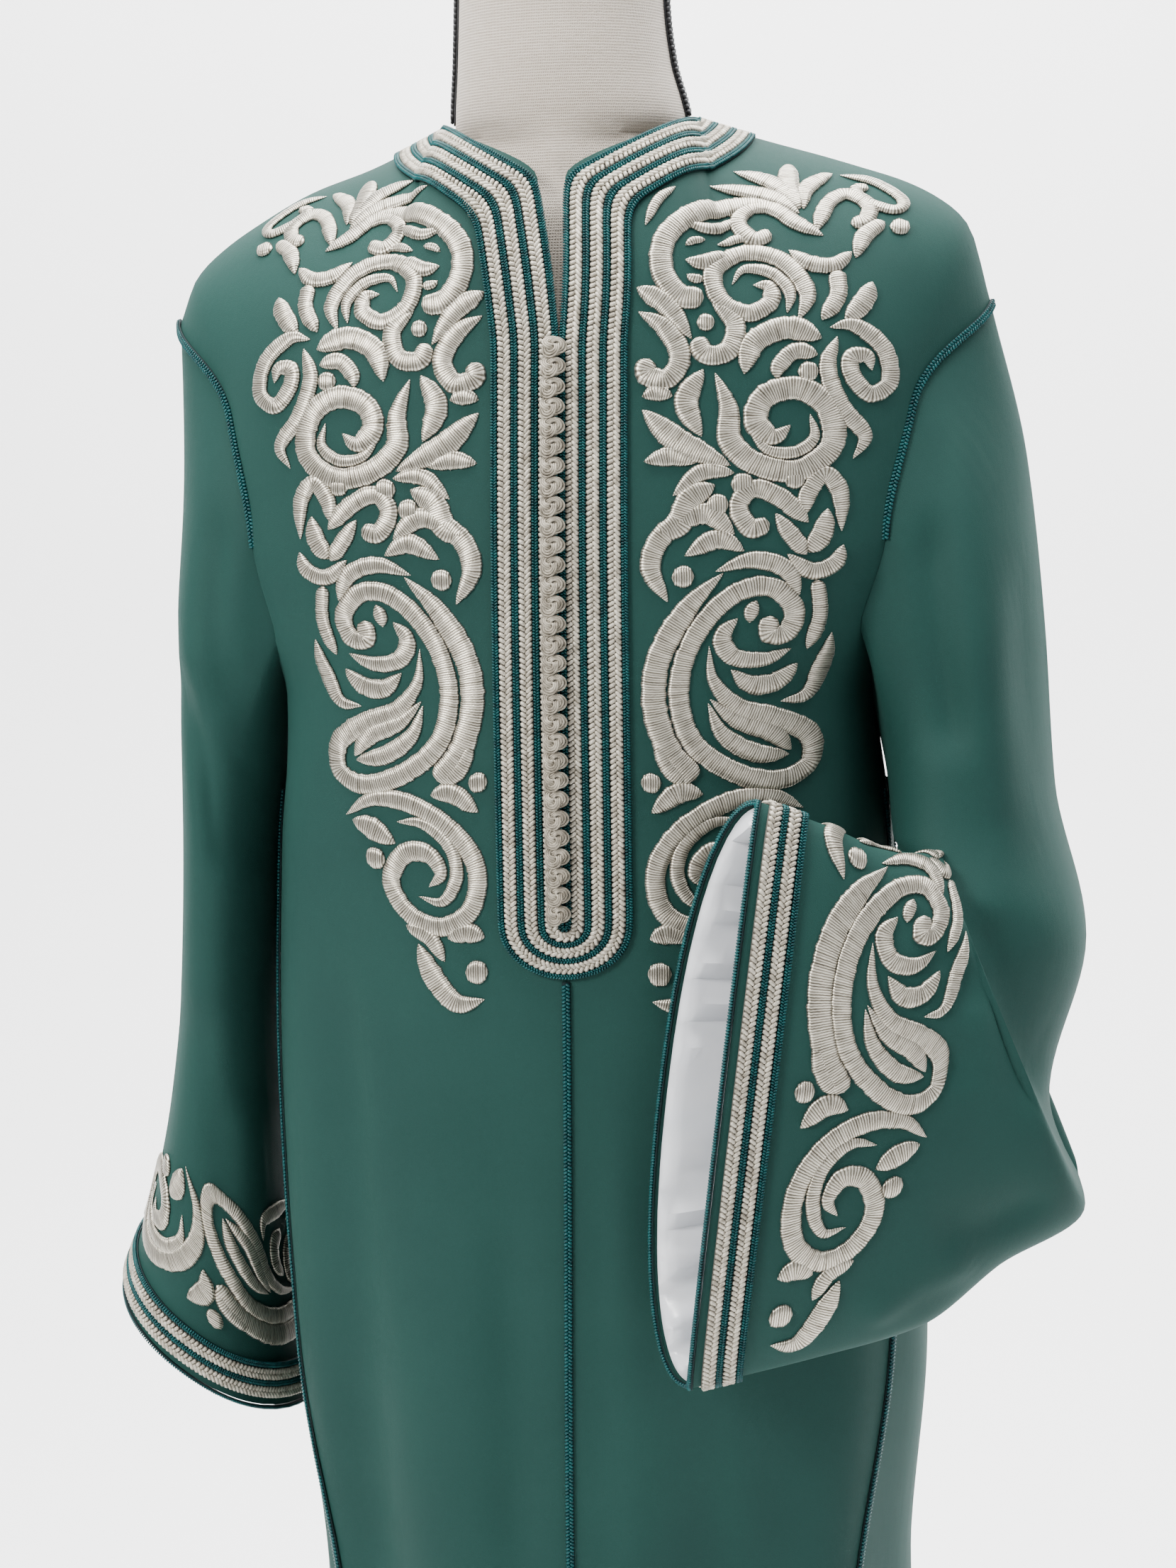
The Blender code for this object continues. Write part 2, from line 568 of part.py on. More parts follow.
def neck_line(surface, distance):
    """A loop at this distance from the slit, round the neck, and round the foot of the slit."""
    rise = (NECK_SIDE[2] - NECK_FRONT_Z) / (NECK_SIDE[0] - SLIT_HALF_GAP)
    slope = np.arctan(rise)
    corner = distance * (1 - np.sin(slope)) / np.cos(slope)
    foot = PLACKET_FOOT_Z
    places = []

    def slit_place(side, z):
        return surface.from_front(slit_x(z) + side * (max(slit_gap(z), SEAM_GAP / 2) + distance), z)

    def neck_place(side, t, front):
        near = 0.004
        here = neckline(side, t, front)
        ahead, behind = neckline(side, min(t + near, 1), front), neckline(side, max(t - near, 0), front)
        way = unit(ahead - behind)
        keys, ways = zip(*LEAVING)
        leaving = through(keys, ways, t * NECK_SHARE) * (side, 1 if front else -1, 1)
        if t > 0.8:
            out = np.array([side * 0.93, 0.0, -0.36])
            share = (t - 0.8) / 0.2
            leaving = leaving * (1 - share) + out * share
        leaving = unit(leaving - way * np.dot(leaving, way))
        return surface.nearest(here + leaving * distance)

    turn_z = NECK_FRONT_Z - corner * 0.93
    run = np.array([neckline(1, t, True) for t in np.linspace(0, 1, 41)])
    run = lengths_along(run)
    start = np.interp(corner, run, np.linspace(0, 1, 41))
    for side in (-1, 1):
        slit = [slit_place(side, z) for z in np.linspace(foot, turn_z, SLIT_STEPS + 1)]
        neck = [neck_place(side, t, True) for t in np.linspace(start, 1, NECK_STEPS + 1)[1:]]
        places += slit + neck if side < 0 else []
        right = slit + neck if side > 0 else []
    for share in np.linspace(-1, 1, BACK_STEPS + 1)[1:-1]:
        places.append(neck_place(-1 if share < 0 else 1, abs(share), False))
    places += right[::-1]
    for turn in np.linspace(0, np.pi, FOOT_STEPS + 1)[1:-1]:
        x = slit_x(foot) + distance * np.cos(turn)
        places.append(surface.from_front(x, foot - PLACKET_ROUND * distance * np.sin(turn)))
    return places


def neck_trim(surface, name, distance, width, share, thick, finish):
    inner = neck_line(surface, distance - width / 2)
    outer = neck_line(surface, distance + width / 2)
    return strip(name, surface, inner, outer, share, thick, finish, closed=True)


def down_sleeve(panel, distance):
    """A ring of (point, normal) on the sleeve at this distance from the cuff's edge."""
    found = []
    for k in range(panel.grid.shape[1]):
        line = panel.grid[::-1, k]
        run = lengths_along(line)
        point = [np.interp(distance, run, line[:, axis]) for axis in range(3)]
        normal = [np.interp(distance, run, panel.normals[::-1, k, axis]) for axis in range(3)]
        found.append((np.array(point), unit(normal)))
    return found


def cuff_trims(side_name, panel):
    surface = Surface([panel])
    for kind, lines, width, share, thick, finish in (
            ("braid", CUFF_BRAIDS, BRAID_WIDTH, 0.7, BRAID_THICK, "silver_braid"),
            ("cord", CUFF_CORDS, CORD_WIDTH, 0.5, CORD_THICK, "teal_cord")):
        for name, distance in lines.items():
            strip(f"cuff_{kind}_{name}_{side_name}", surface, down_sleeve(panel, distance - width / 2),
                  down_sleeve(panel, distance + width / 2), share, thick, finish, closed=True)


def seam_cord(name, surface, points, normals):
    """A flat braided cord over a seam line, as wide to each side of it."""
    last = len(points) - 1
    left, right = [], []
    for i, (point, normal) in enumerate(zip(points, normals)):
        way = unit(points[min(i + 1, last)] - points[max(i - 1, 0)])
        across = unit(np.cross(way, normal)) * SEAM_CORD_WIDTH / 2
        left.append((point - across, normal))
        right.append((point + across, normal))
    return strip(name, surface, left, right, 0.6, SEAM_CORD_THICK, "teal_cord", closed=False)


def turned(name, rings, sides, finish):
    """A closed solid through level rings."""
    turn = np.linspace(0, 2 * np.pi, sides, endpoint=False)
    points = []
    for ring in rings:
        power = 2 / ring.squareness
        x = ring.shift + ring.half * np.sign(np.sin(turn)) * abs(np.sin(turn)) ** power
        deep = np.where(np.cos(turn) > 0, ring.front, ring.back)
        y = -deep * np.sign(np.cos(turn)) * abs(np.cos(turn)) ** power
        points += list(np.stack([x, y, np.full(sides, ring.z)], 1))
    faces = [face[::-1] for face in quads(len(rings), sides, closed=True)]
    faces += [tuple(range(sides))[::-1], tuple((len(rings) - 1) * sides + j for j in range(sides))]
    return add_object(name, points, faces, finish)


def round_ring(z, radius):
    return FormRing(z, radius, radius, radius)


def dress_form():
    turned("form_body", FORM_RINGS, 24, "linen")
    neck = FORM_RINGS[-1]
    top = neck.z + SEAM_GAP
    cap = [FormRing(top + CAP_HEIGHT * rise, neck.half * share, neck.front * share, neck.back * share,
                    shift=neck.shift)
           for rise, share in ((0.0, 0.93), (0.6, 0.90), (1.0, 0.74))]
    turned("neck_cap", cap, 24, "wood")
    base = [round_ring(0.0, BASE_RADIUS), round_ring(BASE_HEIGHT * 0.6, BASE_RADIUS),
            round_ring(BASE_HEIGHT, BASE_RADIUS * 0.94)]
    turned("stand_base", base, 32, "black_metal")
    collar_foot = BASE_HEIGHT + SEAM_GAP
    collar_top = collar_foot + COLLAR_HEIGHT
    collar = [round_ring(collar_foot, COLLAR_RADIUS), round_ring(collar_top, POLE_RADIUS * 1.25)]
    turned("stand_collar", collar, 16, "black_metal")
    pole = [round_ring(z, POLE_RADIUS) for z in (collar_top + SEAM_GAP, FORM_RINGS[0].z - SEAM_GAP)]
    turned("stand_pole", pole, 16, "wood")


def knot_string(name, surface, heights):
    """Buttons of knotted cord, sewn on one cord that shows between them as a narrow waist."""
    sides, points = 6, []
    rings = [(-0.46, 0.55), (-0.22, 1.0), (0.22, 1.0), (0.46, 0.55)]
    for z in heights:
        for along, share in rings:
            place, normal = surface.from_front(slit_x(z) - KNOT_LEAN, z - along * KNOT_PITCH)
            centre = place + normal * (KNOT_LIFT + CORD_THICK + KNOT_DEPTH / 2)
            across = unit(np.cross(normal, (0, 0, 1)))
            for turn in np.linspace(0, 2 * np.pi, sides, endpoint=False):
                points.append(centre + across * np.cos(turn) * share * KNOT_WIDTH / 2
                              + normal * np.sin(turn) * share * KNOT_DEPTH / 2)
    count = len(points) // sides
    faces = quads(count, sides, closed=True)
    faces += [tuple(range(sides)), tuple((count - 1) * sides + j for j in range(sides))[::-1]]
    return add_object(name, points, facing_out(points, faces), "silver_braid")


def build_cloth():
    heights = ARMHOLE_HEIGHTS + SKIRT_HEIGHTS[1:]
    arm_rows = PATCH_ROWS + len(ARMHOLE_HEIGHTS)
    fronts = {side: front_grid(side, PATCH_ROWS, heights) for side in (-1, 1)}
    gores = {side: gore_grid(side, GORE_COLUMNS, SKIRT_HEIGHTS) for side in (-1, 1)}
    back = back_grid(PATCH_ROWS, heights)
    back_edges = {-1: back[:, 0], 1: back[:, -1]}
    panels = {}
    for side, word in ((-1, "left"), (1, "right")):
        panels["front_" + word] = Cloth("front_" + word, fronts[side], flip=side < 0)
        panels["gore_" + word] = Cloth("gore_" + word, gores[side], flip=side < 0)
        loop = armhole_loop(fronts[side], gores[side], back_edges[side], arm_rows)
        table = HANGING_SLEEVE if side < 0 else FOLDED_SLEEVE
        corners = (arm_rows - 1, arm_rows - 1 + GORE_COLUMNS)
        sleeve = sleeve_grid(table, side, loop, corners, SLEEVE_RINGS)
        panels["sleeve_" + word] = Cloth("sleeve_" + word, sleeve, closed=True, flip=side > 0)
    panels["back"] = Cloth("back", back, flip=True)
    sleeves = [panel for panel in panels.values() if panel.closed]
    share_normals([panel for panel in panels.values() if not panel.closed], sleeves)
    return panels


def lining(sleeve):
    """The satin inside the folded sleeve, as far in from the cuff as it can be seen."""
    mouth = down_sleeve(sleeve, LINING_EDGE)
    grid = np.concatenate([sleeve.grid[-1 - LINING_RINGS:-1], [[point for point, _ in mouth]]])
    panel = Cloth("lining", grid, closed=True, flip=sleeve.flip)
    panel.normals = np.concatenate([sleeve.normals[-1 - LINING_RINGS:-1], [[normal for _, normal in mouth]]])
    wall("sleeve_lining_right", panel, "satin", LINING, depth=CLOTH + LINING_GAP)


def armhole_line(sleeve):
    """The armhole seam from the back of the arm, over the shoulder tip, to the front, above the underarm."""
    reach = PATCH_ROWS + CORDED_ARMHOLE_ROWS
    order = list(range(-reach, reach + 1))
    return sleeve.grid[0, order], sleeve.normals[0, order]


def trims(panels):
    surface = Surface([panels[name] for name in ("front_left", "front_right", "back")])
    for name, distance in NECK_BRAIDS.items():
        neck_trim(surface, name, distance, BRAID_WIDTH, 0.7, BRAID_THICK, "silver_braid")
    for name, distance in NECK_CORDS.items():
        neck_trim(surface, name, distance, CORD_WIDTH, 0.5, CORD_THICK, "teal_cord")
    for first in range(0, KNOTS, KNOTS_ON_A_STRING):
        heights = [KNOT_TOP_Z - KNOT_PITCH * (first + n) for n in range(KNOTS_ON_A_STRING)]
        knot_string(f"knots_{first + 1:02d}", surface, heights)
    foot = PLACKET_FOOT_Z - PLACKET_ROUND * NECK_CORDS["neck_cord_outer"] - SEAM_CORD_WIDTH
    heights = [foot] + [z for z in SKIRT_HEIGHTS if z < foot - 0.02]
    heights[-1] += SEAM_GAP
    places = [surface.from_front(slit_x(z), z) for z in heights]
    seam_cord("cord_centre_front", surface, *zip(*places))
    everything = Surface(panels.values())
    for side, word in ((-1, "left"), (1, "right")):
        gore, sleeve = panels["gore_" + word], panels["sleeve_" + word]
        seam_cord("cord_armhole_" + word, everything, *armhole_line(sleeve))
        for edge, name in ((0, "front"), (-1, "back")):
            seam_cord(f"cord_side_{name}_{word}", everything, gore.grid[1:, edge], gore.normals[1:, edge])
        cuff_trims(word, sleeve)


def main():
    clear_scene()
    panels = build_cloth()
    for name, panel in panels.items():
        wall(name, panel, "crepe", CLOTH)
    lining(panels["sleeve_right"])
    trims(panels)
    dress_form()


main()
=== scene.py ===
# %% [markdown]
# # An embroidered kaftan on a dress form
# The imported part is loaded first. It is the fixed frame of the scene: every piece below lies where its
# solid lies, in metres, with the front facing -Y.

# %% Load the imported part
from collections import namedtuple
from functools import partial

import bpy
import numpy as np
from mathutils import Matrix, Vector
from mathutils.bvhtree import BVHTree


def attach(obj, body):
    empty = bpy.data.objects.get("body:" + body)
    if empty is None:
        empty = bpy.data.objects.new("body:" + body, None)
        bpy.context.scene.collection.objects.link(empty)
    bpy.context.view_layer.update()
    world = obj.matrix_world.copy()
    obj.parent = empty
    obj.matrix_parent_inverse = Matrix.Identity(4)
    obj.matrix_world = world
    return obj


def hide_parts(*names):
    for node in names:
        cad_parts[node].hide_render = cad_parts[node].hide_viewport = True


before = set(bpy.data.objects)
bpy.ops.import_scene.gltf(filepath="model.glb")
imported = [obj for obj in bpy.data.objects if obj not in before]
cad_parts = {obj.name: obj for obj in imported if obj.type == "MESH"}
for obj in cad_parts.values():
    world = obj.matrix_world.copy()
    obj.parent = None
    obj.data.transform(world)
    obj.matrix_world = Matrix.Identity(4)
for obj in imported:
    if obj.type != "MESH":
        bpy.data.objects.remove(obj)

for startup_name in ("Cube", "Light", "Camera"):
    if startup_name in bpy.data.objects:
        bpy.data.objects.remove(bpy.data.objects[startup_name], do_unlink=True)
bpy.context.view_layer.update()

# %% [markdown]
# ## The camera
# The photograph looks a little down on the garment from the side of its right sleeve, with a long lens.
# The camera could be aimed with a constraint, but a matrix built from three turns says exactly where it
# looks.

# %% Camera
CAMERA_TURN, CAMERA_PITCH, CAMERA_ROLL = np.radians([8.0, 8.0, 1.2])
CAMERA_AIM = np.array([0.0, 0.0, 1.066])
CAMERA_DISTANCE = 1.65
LENS_MM, SENSOR_MM = 65.5, 36.0

up = np.array([0.0, 0.0, 1.0])
level_ahead = np.array([-np.sin(CAMERA_TURN), np.cos(CAMERA_TURN), 0.0])
level_right = np.array([np.cos(CAMERA_TURN), np.sin(CAMERA_TURN), 0.0])
ahead = level_ahead * np.cos(CAMERA_PITCH) - up * np.sin(CAMERA_PITCH)
lifted = up * np.cos(CAMERA_PITCH) + level_ahead * np.sin(CAMERA_PITCH)
camera_right = level_right * np.cos(CAMERA_ROLL) - lifted * np.sin(CAMERA_ROLL)
camera_up = lifted * np.cos(CAMERA_ROLL) + level_right * np.sin(CAMERA_ROLL)
camera_place = CAMERA_AIM - ahead * CAMERA_DISTANCE

camera_data = bpy.data.cameras.new("camera")
camera_data.lens = LENS_MM
camera_data.sensor_width = SENSOR_MM
camera_data.clip_start = 0.05
camera = bpy.data.objects.new("camera", camera_data)
bpy.context.scene.collection.objects.link(camera)
turned_axes = np.column_stack([camera_right, camera_up, -ahead, camera_place])
camera.matrix_world = Matrix([*turned_axes.tolist(), [0, 0, 0, 1]])
bpy.context.scene.camera = camera
print("camera at", np.round(camera_place, 3))

# %% [markdown]
# ## Finishes
# Each finish is a node material made from noise, waves and bumps, so it needs no picture. Patterns that
# follow a piece, such as the threads of the embroidery, read its UV map, which holds metres along and
# across the piece.

# %% Tools for the finishes


class Finish:
    """A material with short ways to add nodes and to wire them."""

    def __init__(self, name, roughness, metallic=0.0):
        self.material = bpy.data.materials.new(name)
        self.material.use_nodes = True
        self.tree = self.material.node_tree
        self.shader = self.tree.nodes["Principled BSDF"]
        self.shader.inputs["Roughness"].default_value = roughness
        self.shader.inputs["Metallic"].default_value = metallic

    def node(self, kind, **inputs):
        made = self.tree.nodes.new("ShaderNode" + kind)
        for name, value in inputs.items():
            self.give(made, name.replace("_", " "), value)
        return made

    def give(self, node, name, value):
        socket = node.inputs[name]
        if isinstance(value, bpy.types.NodeSocket):
            self.tree.links.new(value, socket)
        else:
            socket.default_value = value

    def coordinates(self, kind, scale=(1, 1, 1)):
        source = self.node("TexCoord")
        mapping = self.node("Mapping", Vector=source.outputs[kind], Scale=scale)
        return mapping.outputs["Vector"]

    def noise(self, where, scale, detail=2.0, roughness=0.5):
        made = self.node("TexNoise", Vector=where, Scale=scale, Detail=detail, Roughness=roughness)
        return made.outputs["Fac"]

    def wave(self, where, scale, direction, distortion=0.0, detail_scale=1.0):
        made = self.node("TexWave", Vector=where, Scale=scale, Distortion=distortion)
        made.inputs["Detail Scale"].default_value = detail_scale
        made.bands_direction = direction
        return made.outputs["Fac"]

    def ramp(self, value, *stops):
        made = self.node("ValToRGB", Fac=value)
        elements = made.color_ramp.elements
        while len(elements) < len(stops):
            elements.new(0.5)
        for element, (place, colour) in zip(elements, stops):
            element.position = place
            element.color = (*colour, 1)
        return made.outputs["Color"]

    def math(self, operation, first, second=0.0):
        made = self.node("Math")
        made.operation = operation
        self.give(made, 0, first)
        self.give(made, 1, second)
        return made.outputs[0]

    def mix(self, share, first, second, kind="MIX"):
        made = self.node("MixRGB", Fac=share, Color1=first, Color2=second)
        made.blend_type = kind
        return made.outputs["Color"]

    def bump(self, height, distance, strength=1.0, under=None):
        made = self.node("Bump", Height=height, Distance=distance, Strength=strength)
        if under is not None:
            self.give(made, "Normal", under)
        return made.outputs["Normal"]

    def colour(self, value):
        self.give(self.shader, "Base Color", value)

    def set(self, **inputs):
        for name, value in inputs.items():
            self.give(self.shader, name.replace("_", " "), value)


# %% [markdown]
# The cloth is crepe: a matte weave of hard-twisted yarns, with a pebbled grain under half a millimetre
# wide. Up close the grain breaks up the light, and from further off it gives a soft sheen along the folds.

# %% Crepe
CREPE_DARK = (0.0075, 0.037, 0.031)
CREPE_MIDDLE = (0.0090, 0.042, 0.035)
CREPE_LIGHT = (0.0105, 0.047, 0.039)


def crepe_finish():
    crepe = Finish("crepe", roughness=0.70)
    where = crepe.coordinates("Object")
    grain = crepe.noise(where, 2600.0, detail=2.0)
    cloudy = crepe.noise(where, 7.0, detail=3.0)
    shades = crepe.ramp(cloudy, (0.30, CREPE_DARK), (0.52, CREPE_MIDDLE), (0.74, CREPE_LIGHT))
    specks = crepe.ramp(grain, (0.35, (0.80, 0.80, 0.80)), (0.65, (1.0, 1.0, 1.0)))
    crepe.colour(crepe.mix(0.8, shades, specks, "MULTIPLY"))
    slub = crepe.noise(crepe.coordinates("Object", (260.0, 260.0, 60.0)), 1.0, detail=3.0)
    uneven = crepe.bump(slub, 0.0004, 0.25)
    crepe.set(Normal=crepe.bump(grain, 0.00030, 0.55, uneven), Sheen_Weight=0.04, Sheen_Roughness=0.45,
              Sheen_Tint=(0.35, 0.80, 0.68, 1.0), Specular_IOR_Level=0.13)
    return crepe.material


CREPE = crepe_finish()
print("finish:", CREPE.name)

# %% [markdown]
# Embroidery and braid are metallic thread wound on a silk core. In satin stitch the threads lie side by side
# across each stroke, which is what makes a stroke flash or go dull as it turns. Fine ridges across the
# stroke do the same here in the bump, with no picture of threads, and they also darken the colour between
# the threads as painted shade.

# %% Silver thread
# Partly painted shade: the darkest thread colour stands for shade in the grooves between threads and on some
# bundles; the rest of the spread is tone that differs from bundle to bundle.
SILVER_DARK_AND_SHADE = (0.082, 0.071, 0.053)
SILVER_MIDDLE = (0.300, 0.272, 0.216)
SILVER_LIGHT = (0.630, 0.590, 0.495)
# A wave texture has 3.18 bands a metre at scale 1, so this makes 760 ridges a metre.
RIDGE_SCALE = 238.74


def thread_finish():
    thread = Finish("satin_stitch", roughness=0.38, metallic=0.80)
    where = thread.coordinates("UV")
    ridges = thread.wave(where, RIDGE_SCALE, "X", distortion=1.2, detail_scale=3.0)
    bundles = thread.noise(thread.coordinates("UV", (420.0, 40.0, 1.0)), 1.0, detail=4.0, roughness=0.6)
    both = thread.math("ADD", thread.math("MULTIPLY", ridges, 0.35), thread.math("MULTIPLY", bundles, 0.65))
    # The dark end of this colour is painted shade between the thread ridges and on some bundles.
    thread.colour(thread.ramp(both, (0.28, SILVER_DARK_AND_SHADE), (0.46, SILVER_MIDDLE), (0.66, SILVER_LIGHT)))
    soft = thread.bump(bundles, 0.00045, 0.6)
    along = thread.node("Tangent")
    along.direction_type = "UV_MAP"
    thread.set(Normal=thread.bump(ridges, 0.00016, 0.8, soft), Sheen_Weight=0.1, Sheen_Roughness=0.35,
               Anisotropic=0.75, Tangent=along.outputs["Tangent"])
    return thread.material


SATIN_STITCH = thread_finish()
print("finish:", SATIN_STITCH.name)

# %% [markdown]
# Each grain of a braid or cord is one pass of a thread bundle. The grains are modelled, so their finish
# only needs the fine threads inside one grain, and a little change of tone from place to place.

# %% Braid, cord and knot threads
FIBRE_SCALE = 5200.0


def bundle_finish(name, dark, light, metallic, roughness, sheen=0.12, specular=0.5):
    bundle = Finish(name, roughness=roughness, metallic=metallic)
    where = bundle.coordinates("Object")
    fine = bundle.noise(where, FIBRE_SCALE, detail=1.0)
    patchy = bundle.noise(where, 240.0, detail=2.0)
    both = bundle.math("ADD", bundle.math("MULTIPLY", fine, 0.4), bundle.math("MULTIPLY", patchy, 0.6))
    bundle.colour(bundle.ramp(both, (0.36, dark), (0.62, light)))
    bundle.set(Normal=bundle.bump(fine, 0.00015, 0.5), Sheen_Weight=sheen, Sheen_Roughness=0.4,
               Specular_IOR_Level=specular)
    return bundle.material


SILVER_BRAID = bundle_finish("silver_braid", (0.215, 0.190, 0.146), (0.560, 0.520, 0.430), 0.40, 0.40)
# Painted shade: a very dark silver for the band under the braid's grains, standing for the shade in the gaps
# between them.
SILVER_GAP_SHADE = bundle_finish("silver_ground", (0.045, 0.038, 0.028), (0.100, 0.088, 0.068), 0.15, 0.60)
KNOT_THREAD = bundle_finish("knot_thread", (0.120, 0.101, 0.072), (0.390, 0.350, 0.276), 0.30, 0.45)
TEAL_CORD = bundle_finish("teal_cord", (0.0006, 0.026, 0.029), (0.0030, 0.078, 0.080), 0.0, 0.38,
                          sheen=0.0, specular=0.3)
# Painted shade: a near-black teal for the band under the cords' grains, standing for the shade in the gaps
# between them.
TEAL_GAP_SHADE = bundle_finish("teal_ground", (0.0003, 0.006, 0.007), (0.0008, 0.012, 0.013), 0.0, 0.70,
                            sheen=0.0, specular=0.2)
print("finishes so far:", len(bpy.data.materials))

# %% [markdown]
# The sleeve is lined with white satin, a weave whose long floats give a broad soft gloss. The form is
# covered in plain linen, where thick and thin yarns cross at right angles, and its seams carry a black
# plaited tape.

# %% Satin, linen, tape, wood and metal
# 633 yarns a metre
YARN_SCALE = 198.95


def satin_finish():
    satin = Finish("satin", roughness=0.30)
    where = satin.coordinates("Object")
    cloudy = satin.noise(where, 30.0, detail=2.0)
    satin.colour(satin.ramp(cloudy, (0.30, (0.55, 0.57, 0.60)), (0.70, (0.66, 0.67, 0.69))))
    floats = satin.noise(satin.coordinates("Object", (300.0, 300.0, 2600.0)), 1.0, detail=1.0)
    satin.set(Normal=satin.bump(floats, 0.0001, 0.3), Sheen_Weight=0.3, Sheen_Roughness=0.25,
              Specular_IOR_Level=0.6)
    return satin.material


def linen_finish():
    linen = Finish("linen", roughness=0.88)
    flat = linen.coordinates("UV")
    warp, weft = (linen.wave(flat, YARN_SCALE, way, distortion=1.6, detail_scale=2.0) for way in "XY")
    weave = linen.math("MAXIMUM", warp, weft)
    slubs = linen.noise(linen.coordinates("UV", (60.0, 900.0, 1.0)), 1.0, detail=3.0)
    yarns = linen.ramp(weave, (0.25, (0.30, 0.25, 0.20)), (0.85, (0.52, 0.46, 0.39)))
    thick = linen.ramp(slubs, (0.35, (0.86, 0.84, 0.80)), (0.65, (1.0, 1.0, 1.0)))
    linen.colour(linen.mix(0.8, yarns, thick, "MULTIPLY"))
    linen.set(Normal=linen.bump(weave, 0.0004, 0.7), Sheen_Weight=0.25, Sheen_Roughness=0.6)
    return linen.material


def wood_finish():
    wood = Finish("turned_wood", roughness=0.38)
    where = wood.coordinates("Object", (34.0, 34.0, 3.0))
    rings = wood.wave(where, 1.2, "X", distortion=5.0, detail_scale=1.4)
    pores = wood.noise(wood.coordinates("Object", (900.0, 900.0, 40.0)), 1.0, detail=2.0)
    grain = wood.ramp(rings, (0.10, (0.150, 0.070, 0.028)), (0.80, (0.330, 0.175, 0.080)))
    dark_pores = wood.ramp(pores, (0.38, (0.6, 0.6, 0.6)), (0.55, (1.0, 1.0, 1.0)))
    wood.colour(wood.mix(0.6, grain, dark_pores, "MULTIPLY"))
    wood.set(Normal=wood.bump(pores, 0.0003, 0.3), Coat_Weight=0.35, Coat_Roughness=0.18)
    return wood.material


def painted_metal_finish():
    metal = Finish("painted_metal", roughness=0.42, metallic=0.2)
    where = metal.coordinates("Object")
    dust = metal.noise(where, 18.0, detail=4.0)
    peel = metal.noise(where, 700.0, detail=1.0)
    metal.colour(metal.ramp(dust, (0.30, (0.012, 0.012, 0.013)), (0.75, (0.035, 0.034, 0.033))))
    metal.set(Roughness=metal.math("ADD", metal.math("MULTIPLY", dust, 0.25), 0.30),
              Normal=metal.bump(peel, 0.0002, 0.15), Coat_Weight=0.2, Coat_Roughness=0.2)
    return metal.material


SATIN = satin_finish()
LINEN = linen_finish()
WOOD = wood_finish()
PAINTED_METAL = painted_metal_finish()
BLACK_TAPE = bundle_finish("black_tape", (0.004, 0.004, 0.005), (0.022, 0.022, 0.025), 0.0, 0.55)
print("finishes:", len(bpy.data.materials))

# %% [markdown]
# ## The shape of the garment
# A long loose garment hangs from the shoulders, so its shape is a few outlines at chosen heights with
# smooth curves between them. A cloth simulation could find this by itself, but it never lands twice on the
# folds of one photograph. Here the outlines are those of the solids, moved by up to 14 mm at the folded
# sleeve to lie closer to the photograph, and every panel is cut much finer.

# %% A smooth curve through given values


def through(keys, values, at):
    """A smooth curve through the values that never swings past them. values may hold vectors."""
    keys = np.asarray(keys, float)
    values = np.asarray(values, float)
    at = np.asarray(at, float)
    if keys[0] > keys[-1]:
        keys, values = keys[::-1], values[::-1]
    flat = values.reshape(len(keys), -1)
    step = np.diff(keys)[:, None]
    slope = np.diff(flat, axis=0) / step
    tangent = np.zeros_like(flat)
    tangent[0], tangent[-1] = slope[0], slope[-1]
    before, after = slope[:-1], slope[1:]
    same = before * after > 0
    total = np.where(same, before + after, 1.0)
    tangent[1:-1] = np.where(same, 2 * before * after / total, 0.0)
    index = np.clip(np.searchsorted(keys, at.ravel(), side="right") - 1, 0, len(keys) - 2)
    width = step[index]
    t = np.clip((at.ravel()[:, None] - keys[index][:, None]) / width, 0, 1)
    out = ((2 * t**3 - 3 * t**2 + 1) * flat[index] + (t**3 - 2 * t**2 + t) * width * tangent[index]
           + (3 * t**2 - 2 * t**3) * flat[index + 1] + (t**3 - t**2) * width * tangent[index + 1])
    return out.reshape(at.shape + values.shape[1:])


def signed_power(value, power):
    return np.sign(value) * abs(value) ** power


def unit(vectors):
    vectors = np.asarray(vectors, float)
    return vectors / np.maximum(np.linalg.norm(vectors, axis=-1, keepdims=True), 1e-9)


def column_of(table, field):
    return [getattr(row, field) for row in table]


print("halfway from 0 to 1:", through([0, 1], [0, 1], 0.5))

# %% Outlines of the body, and the folds of the skirt
Section = namedtuple("Section", "z left right front back front_seam back_seam")
SECTIONS = [
    Section(1.280, 0.206, 0.206, 0.117, 0.100, 65, 62),
    Section(1.214, 0.203, 0.204, 0.126, 0.106, 57, 56),
    Section(1.165, 0.183, 0.184, 0.130, 0.106, 59, 58),
    Section(1.125, 0.168, 0.166, 0.132, 0.105, 82, 82),
    Section(1.040, 0.177, 0.175, 0.134, 0.108, 80, 80),
    Section(0.900, 0.182, 0.186, 0.136, 0.116, 73, 74),
    Section(0.750, 0.179, 0.193, 0.138, 0.124, 63, 66),
    Section(0.600, 0.165, 0.181, 0.142, 0.132, 54, 58),
    Section(0.300, 0.186, 0.202, 0.154, 0.148, 47, 52),
    Section(0.040, 0.214, 0.226, 0.166, 0.164, 44, 48),
]
Fold = namedtuple("Fold", "side middle top height width drift")
